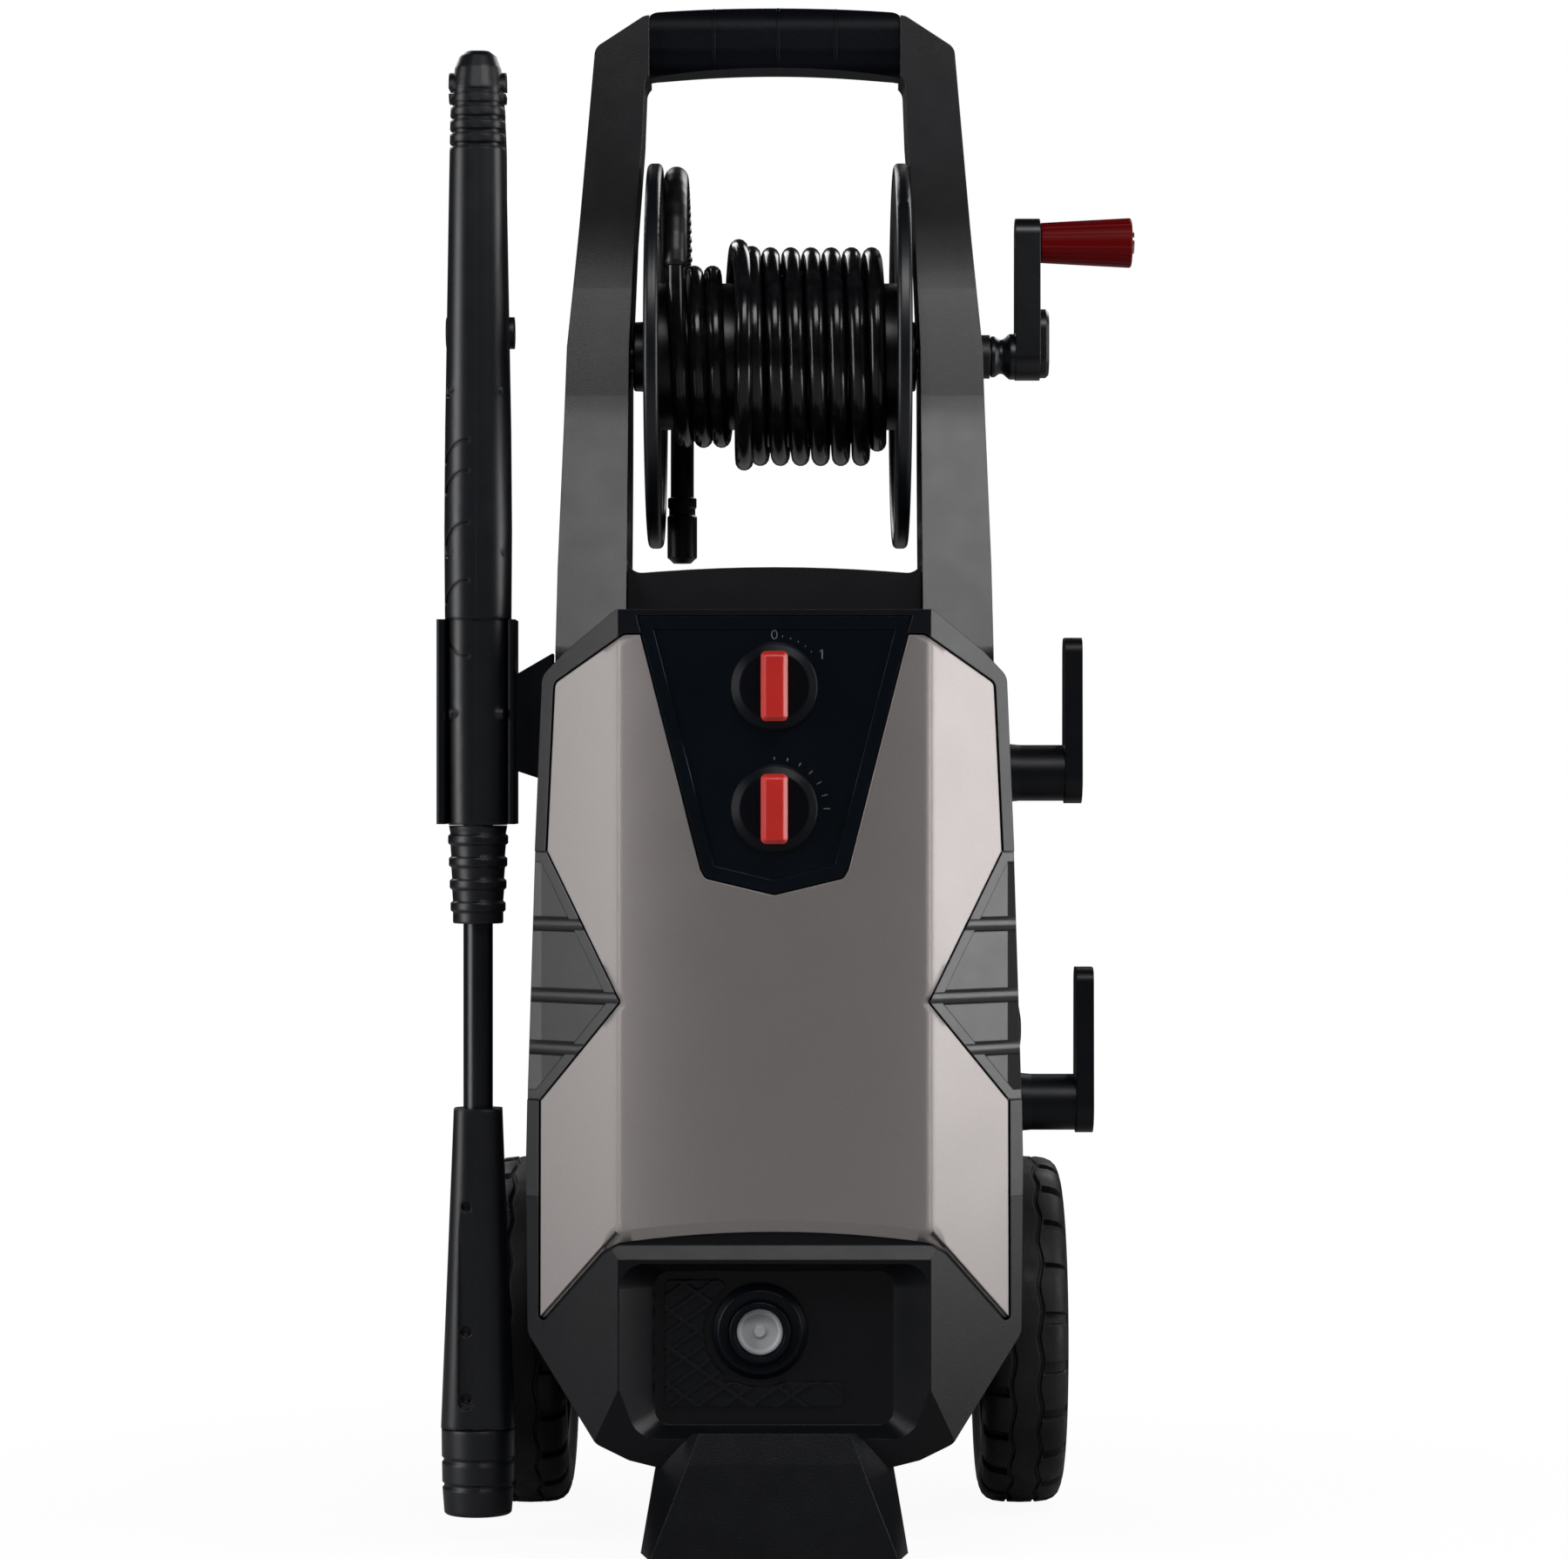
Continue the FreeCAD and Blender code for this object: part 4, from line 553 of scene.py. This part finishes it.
def new_piece(name, bm, made, body, sharp=True):
    """A piece that rides on a body, shaded smooth, with its sharp edges kept where it has them."""
    bmesh.ops.recalc_face_normals(bm, faces=bm.faces)
    mesh = bpy.data.meshes.new(name)
    bm.to_mesh(mesh)
    bm.free()
    for face in mesh.polygons:
        face.use_smooth = True
    if sharp:
        mesh.set_sharp_from_angle(angle=SHARP_ANGLE)
    mesh.materials.append(made)
    piece = linked(name, mesh)
    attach(piece, body)
    return piece


# Hose
def winding_stations():
    """The winding by turns from the drum's port: turns, x and radius."""
    first_end = PORT_TURN + FIRST_TURNS
    second_start = first_end + CLIMB_TURNS
    over = second_start + SECOND_TURNS
    return [
        (PORT_TURN, PORT_X, 0.0425), (PORT_TURN + 0.35, PORT_X + 0.0015, LAYER_ONE),
        (first_end, 0.0635, LAYER_ONE), (second_start, 0.0605, LAYER_TWO),
        (over - 1.3, -0.0115, LAYER_TWO), (over - 0.5, -0.0188, 0.0645), (over - 0.15, -0.0185, 0.0660),
        (over, -0.0225, 0.0668), (over + 0.35, -0.0309, LAYER_ONE), (over + 2.75, -0.0576, LAYER_ONE),
    ]


def between(stations, turns):
    """The winding's x and radius after a number of turns."""
    for (t0, x0, r0), (t1, x1, r1) in zip(stations, stations[1:]):
        if turns <= t1:
            share = (turns - t0) / (t1 - t0)
            ease = share * share * (3 - 2 * share)
            return x0 + (x1 - x0) * share, r0 + (r1 - r0) * ease
    return stations[-1][1:]


def winding_points():
    """Control points of the turns. They stand out by what a smooth line cuts off between them."""
    stations = winding_stations()
    cut = (1 + math.cos(TURN / TURN_POINTS / 2)) / 2
    first, last = stations[0][0], stations[-1][0]
    count = round((last - first) * TURN_POINTS)
    points = []
    for i in range(count + 1):
        turns = first + (last - first) * i / count
        x, radius = between(stations, turns)
        angle = TURN * turns
        reach = radius / cut
        points.append((x, REEL_Y - reach * math.cos(angle), REEL_Z + reach * math.sin(angle)))
    return points


def nurbs(name, points, radius):
    """A round cord along control points."""
    data = bpy.data.curves.new(name, "CURVE")
    data.dimensions = "3D"
    data.bevel_depth = 1.0
    data.bevel_resolution = 5
    data.resolution_u = 4
    data.use_fill_caps = True
    spline = data.splines.new("NURBS")
    spline.points.add(len(points) - 1)
    for point, place in zip(spline.points, points):
        point.co = (*place, 1.0)
        point.radius = radius
    spline.order_u = 3
    spline.use_endpoint_u = True
    return linked(name, data)


def line_of(piece):
    """The points that a curve piece's own line passes through."""
    bare = bpy.data.objects.new("bare_line", piece.data.copy())
    bare.data.bevel_depth = 0.0
    mesh = bpy.data.meshes.new_from_object(bare)
    points = [v.co.copy() for v in mesh.vertices]
    bpy.data.meshes.remove(mesh)
    bpy.data.curves.remove(bare.data)
    return points


def length_of(points):
    return sum((b - a).length for a, b in zip(points, points[1:]))


def resampled(points, start, step):
    """Points every step along a line, from a distance after its start to its end."""
    made, walked, target = [], 0.0, start
    for a, b in zip(points, points[1:]):
        span = (b - a).length
        while span > 0 and target <= walked + span:
            made.append(a + (b - a) * ((target - walked) / span))
            target += step
        walked += span
    return made + [points[-1]]


def sleeve_radius(distance, total):
    """The bend sleeve: a soft start, a plain front part, rings over the top, and a plain end."""
    radius = SLEEVE_RADIUS
    ringed = PLAIN_START < distance < total - PLAIN_END
    if ringed and math.sin(TURN * distance / RING_PITCH) < 0:
        radius -= RING_DEPTH
    return min(radius, HOSE_RADIUS + SLEEVE_LIP + distance * 0.5)


def make_hose():
    """The hose as one soft cord, with the bend sleeve round its free end."""
    free = [(x * MM, REEL_Y + y * MM, REEL_Z + z * MM) for x, y, z in FREE_END]
    points = winding_points() + free
    hose = nurbs("hose", points, HOSE_RADIUS)
    hose.data.materials.append(hose_rubber("hose_cover", 0.16))
    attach(hose, "reel")
    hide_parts("hose_winding")
    line = line_of(hose)
    length = length_of(line)
    inner = resampled(line, length - SLEEVE_LENGTH, SLEEVE_STEP)
    total = len(inner) * SLEEVE_STEP
    radii = [sleeve_radius(i * SLEEVE_STEP, total) for i in range(len(inner))]
    rubber = hose_rubber("sleeve_rubber", 0.35)
    sleeve = new_piece("bend_sleeve", tube(inner, radii), rubber, "reel", sharp=False)
    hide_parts("hose_sleeve")


# Tyres
def tyre_piece(name, side, made):
    """A tyre of revolution whose shoulder blocks stand between grooves, staggered left and right."""
    section = [(x, radius, depth, 0.0) for x, radius, depth in TYRE_SECTION]
    section += [(-x, radius, depth, 0.5) for x, radius, depth in reversed(TYRE_SECTION[:-1])]
    bm = bmesh.new()
    columns = []
    for lug in range(LUGS):
        for phase in LUG_COLUMNS:
            angle = TURN * (lug + phase) / LUGS
            column = []
            for x, radius, depth, shift in section:
                grooved = GROOVE[0] < (phase - shift) % 1.0 < GROOVE[1]
                reach = radius - (depth if grooved else 0.0)
                zigzag = ZIGZAG * math.sin(TURN * phase) if abs(x) < CENTRE_BAND else 0.0
                place = (side * TYRE_MIDDLE + x + zigzag, AXLE_Y + reach * math.sin(angle),
                         WHEEL_RADIUS + reach * math.cos(angle))
                column.append(bm.verts.new(place))
            columns.append(column)
    join_rings(bm, columns + columns[:1])
    piece = new_piece(name, bm, made, "right_wheel" if side > 0 else "left_wheel")
    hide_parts("right_tyre" if side > 0 else "left_tyre")


# Printed marks
def tick_outline(centre_z, angle, low, high, width):
    """A radial tick beside a dial. The angle is clockwise from the top."""
    out = Vector((math.sin(angle), math.cos(angle)))
    side = Vector((out.y, -out.x)) * (width / 2)
    start = Vector((0, centre_z)) + out * low
    end = Vector((0, centre_z)) + out * high
    return [start - side, start + side, end + side, end - side]


def ring_outlines(x, z, half_x, half_z, stroke):
    """Quads of an oval ring."""
    count = 24
    quads = []
    for i in range(count):
        a, b = TURN * i / count, TURN * (i + 1) / count
        inner = [(x + (half_x - stroke) * math.sin(t), z + (half_z - stroke) * math.cos(t)) for t in (a, b)]
        outer = [(x + half_x * math.sin(t), z + half_z * math.cos(t)) for t in (b, a)]
        quads.append(inner + outer)
    return quads


def one_outlines(x, z):
    """The stem and the flag of a 1."""
    left, right = x - STEM_HALF_WIDTH, x + STEM_HALF_WIDTH
    bottom, top = z - DIGIT_HALF_HEIGHT, z + DIGIT_HALF_HEIGHT
    tip = x - 0.0015
    stem = [(left, bottom), (right, bottom), (right, top), (left, top)]
    flag = [(left, top), (left, top - 0.0008), (tip, top - 0.0016), (tip, top - 0.0010)]
    return [stem, flag]


def panel_marks():
    """Printed marks: 0 and 1 for the power dial, and a rising scale for the flow dial."""
    outlines = ring_outlines(0.0, POWER_DIAL_Z + ZERO_REACH, ZERO_HALF_WIDTH, DIGIT_HALF_HEIGHT, ZERO_STROKE)
    outlines += one_outlines(ONE_REACH * math.sin(POWER_ON), POWER_DIAL_Z + ONE_REACH * math.cos(POWER_ON))
    for i in range(7):
        outlines.append(tick_outline(FLOW_DIAL_Z, FLOW_TICK * i, 0.0285, 0.0300 + 0.0004 * i, 0.0007))
    for i in range(1, 6):
        outlines.append(tick_outline(POWER_DIAL_Z, POWER_ON * i / 6, 0.0290, 0.0300, 0.0005))
    bm = bmesh.new()
    for outline in outlines:
        slab(bm, outline, PANEL_FACE_Y - PRINT_RISE, PANEL_FACE_Y + PRINT_SINK)
    piece = new_piece("panel_marks", bm, moulded("print_ink", PRINT, 0.5, 0.05), "machine")


# Screws
def screw_head(name, node, x, z, made):
    """A domed cross-head screw, seated where a ray from behind meets a node."""
    _, point, normal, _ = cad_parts[node].ray_cast(Vector((x, BEHIND_Y, z)), Vector((0, -1, 0)))
    bm = bmesh.new()
    profile = [(SCREW_RADIUS, -0.0006), (SCREW_RADIUS, 0.0002), (SCREW_RADIUS * 0.86, 0.0010),
               (SCREW_RADIUS * 0.55, SCREW_HEIGHT)]
    count = 32
    circle = [(math.cos(TURN * i / count), math.sin(TURN * i / count)) for i in range(count)]
    rings = [[bm.verts.new((r * c, r * s, height)) for c, s in circle] for r, height in profile]
    join_rings(bm, rings)
    arm, thin = SCREW_RADIUS * 0.5, SCREW_RADIUS * 0.13
    cross = [(arm, thin), (thin, thin), (thin, arm), (-thin, arm), (-thin, thin), (-arm, thin),
             (-arm, -thin), (-thin, -thin), (-thin, -arm), (thin, -arm), (thin, -thin), (arm, -thin)]
    top = [bm.verts.new((across, along, SCREW_HEIGHT)) for across, along in cross]
    bottom = [bm.verts.new((across * 0.8, along * 0.8, SLOT_BOTTOM)) for across, along in cross]
    join_rings(bm, [top, bottom])
    bm.faces.new(bottom)
    border = loop_edges(bm, rings[-1]) + loop_edges(bm, top)
    bmesh.ops.triangle_fill(bm, use_beauty=True, use_dissolve=False, edges=border)
    turn = normal.to_track_quat("Z", "Y").to_matrix().to_4x4()
    bm.transform(Matrix.Translation(point) @ turn)
    new_piece(name, bm, made, "machine")


def back_screws():
    made = metal("screw_steel", SCREW_STEEL, 0.4)
    for side, word in ((-1, "left"), (1, "right")):
        for i, z in enumerate(SHELL_SCREWS_Z):
            screw_head("shell_screw_%s_%d" % (word, i), "rear_shell", side * SHELL_SCREW_X, z, made)
        for i, z in enumerate(HANDLE_SCREWS_Z):
            screw_head("handle_screw_%s_%d" % (word, i), "handle_back", side * HANDLE_SCREW_X, z, made)


# Floor and background
def set_floor():
    """A white floor that keeps the object's shadow and lights the object less than it shows."""
    mesh = bpy.data.meshes.new("floor")
    corners = [(x * FLOOR_HALF, y * FLOOR_HALF, 0) for x, y in ((-1, -1), (1, -1), (1, 1), (-1, 1))]
    mesh.from_pydata(corners, [], [(0, 1, 2, 3)])
    floor = linked("floor", mesh)
    floor.location.z = -FLOOR_GAP
    made, tree, shader = material("floor_white", 0.9, shine=0.2)
    seen = seen_directly(tree)
    put(tree, shader.inputs["Base Color"], mixed(tree, seen, FLOOR_BOUNCE, FLOOR_SEEN))
    away = add(tree, "VectorMath", {"operation": "LENGTH"})
    put(tree, away.inputs[0], add(tree, "TexCoord").outputs["Object"])
    share = calc(tree, "MULTIPLY", seen, spread(tree, away.outputs["Value"], GLOW_SHARE, 1.0, *SHADOW_FADE))
    mix = add(tree, "MixShader", Fac=share)
    put(tree, mix.inputs[1], shader.outputs[0])
    put(tree, mix.inputs[2], add(tree, "Emission", Color=WHITE, Strength=FLOOR_GLOW).outputs[0])
    put(tree, tree.nodes["Material Output"].inputs["Surface"], mix.outputs[0])
    mesh.materials.append(made)


def set_world():
    """A background that shows white and lights the object only a little."""
    world = bpy.data.worlds.new("world")
    bpy.context.scene.world = world
    world.use_nodes = True
    tree = world.node_tree
    background = tree.nodes["Background"]
    background.inputs["Color"].default_value = WHITE
    put(tree, background.inputs["Strength"], spread(tree, seen_directly(tree), WORLD_LIGHT, 1.0))
    bpy.context.scene.view_settings.view_transform = "Standard"


set_camera()
make_hose()
dress_nodes()
rubber = tyre_rubber()
tyre_piece("tyre_right", 1, rubber)
tyre_piece("tyre_left", -1, rubber)
panel_marks()
back_screws()
set_floor()
set_world()
for light in LIGHTS:
    area_light(*light)

bpy.context.view_layer.update()
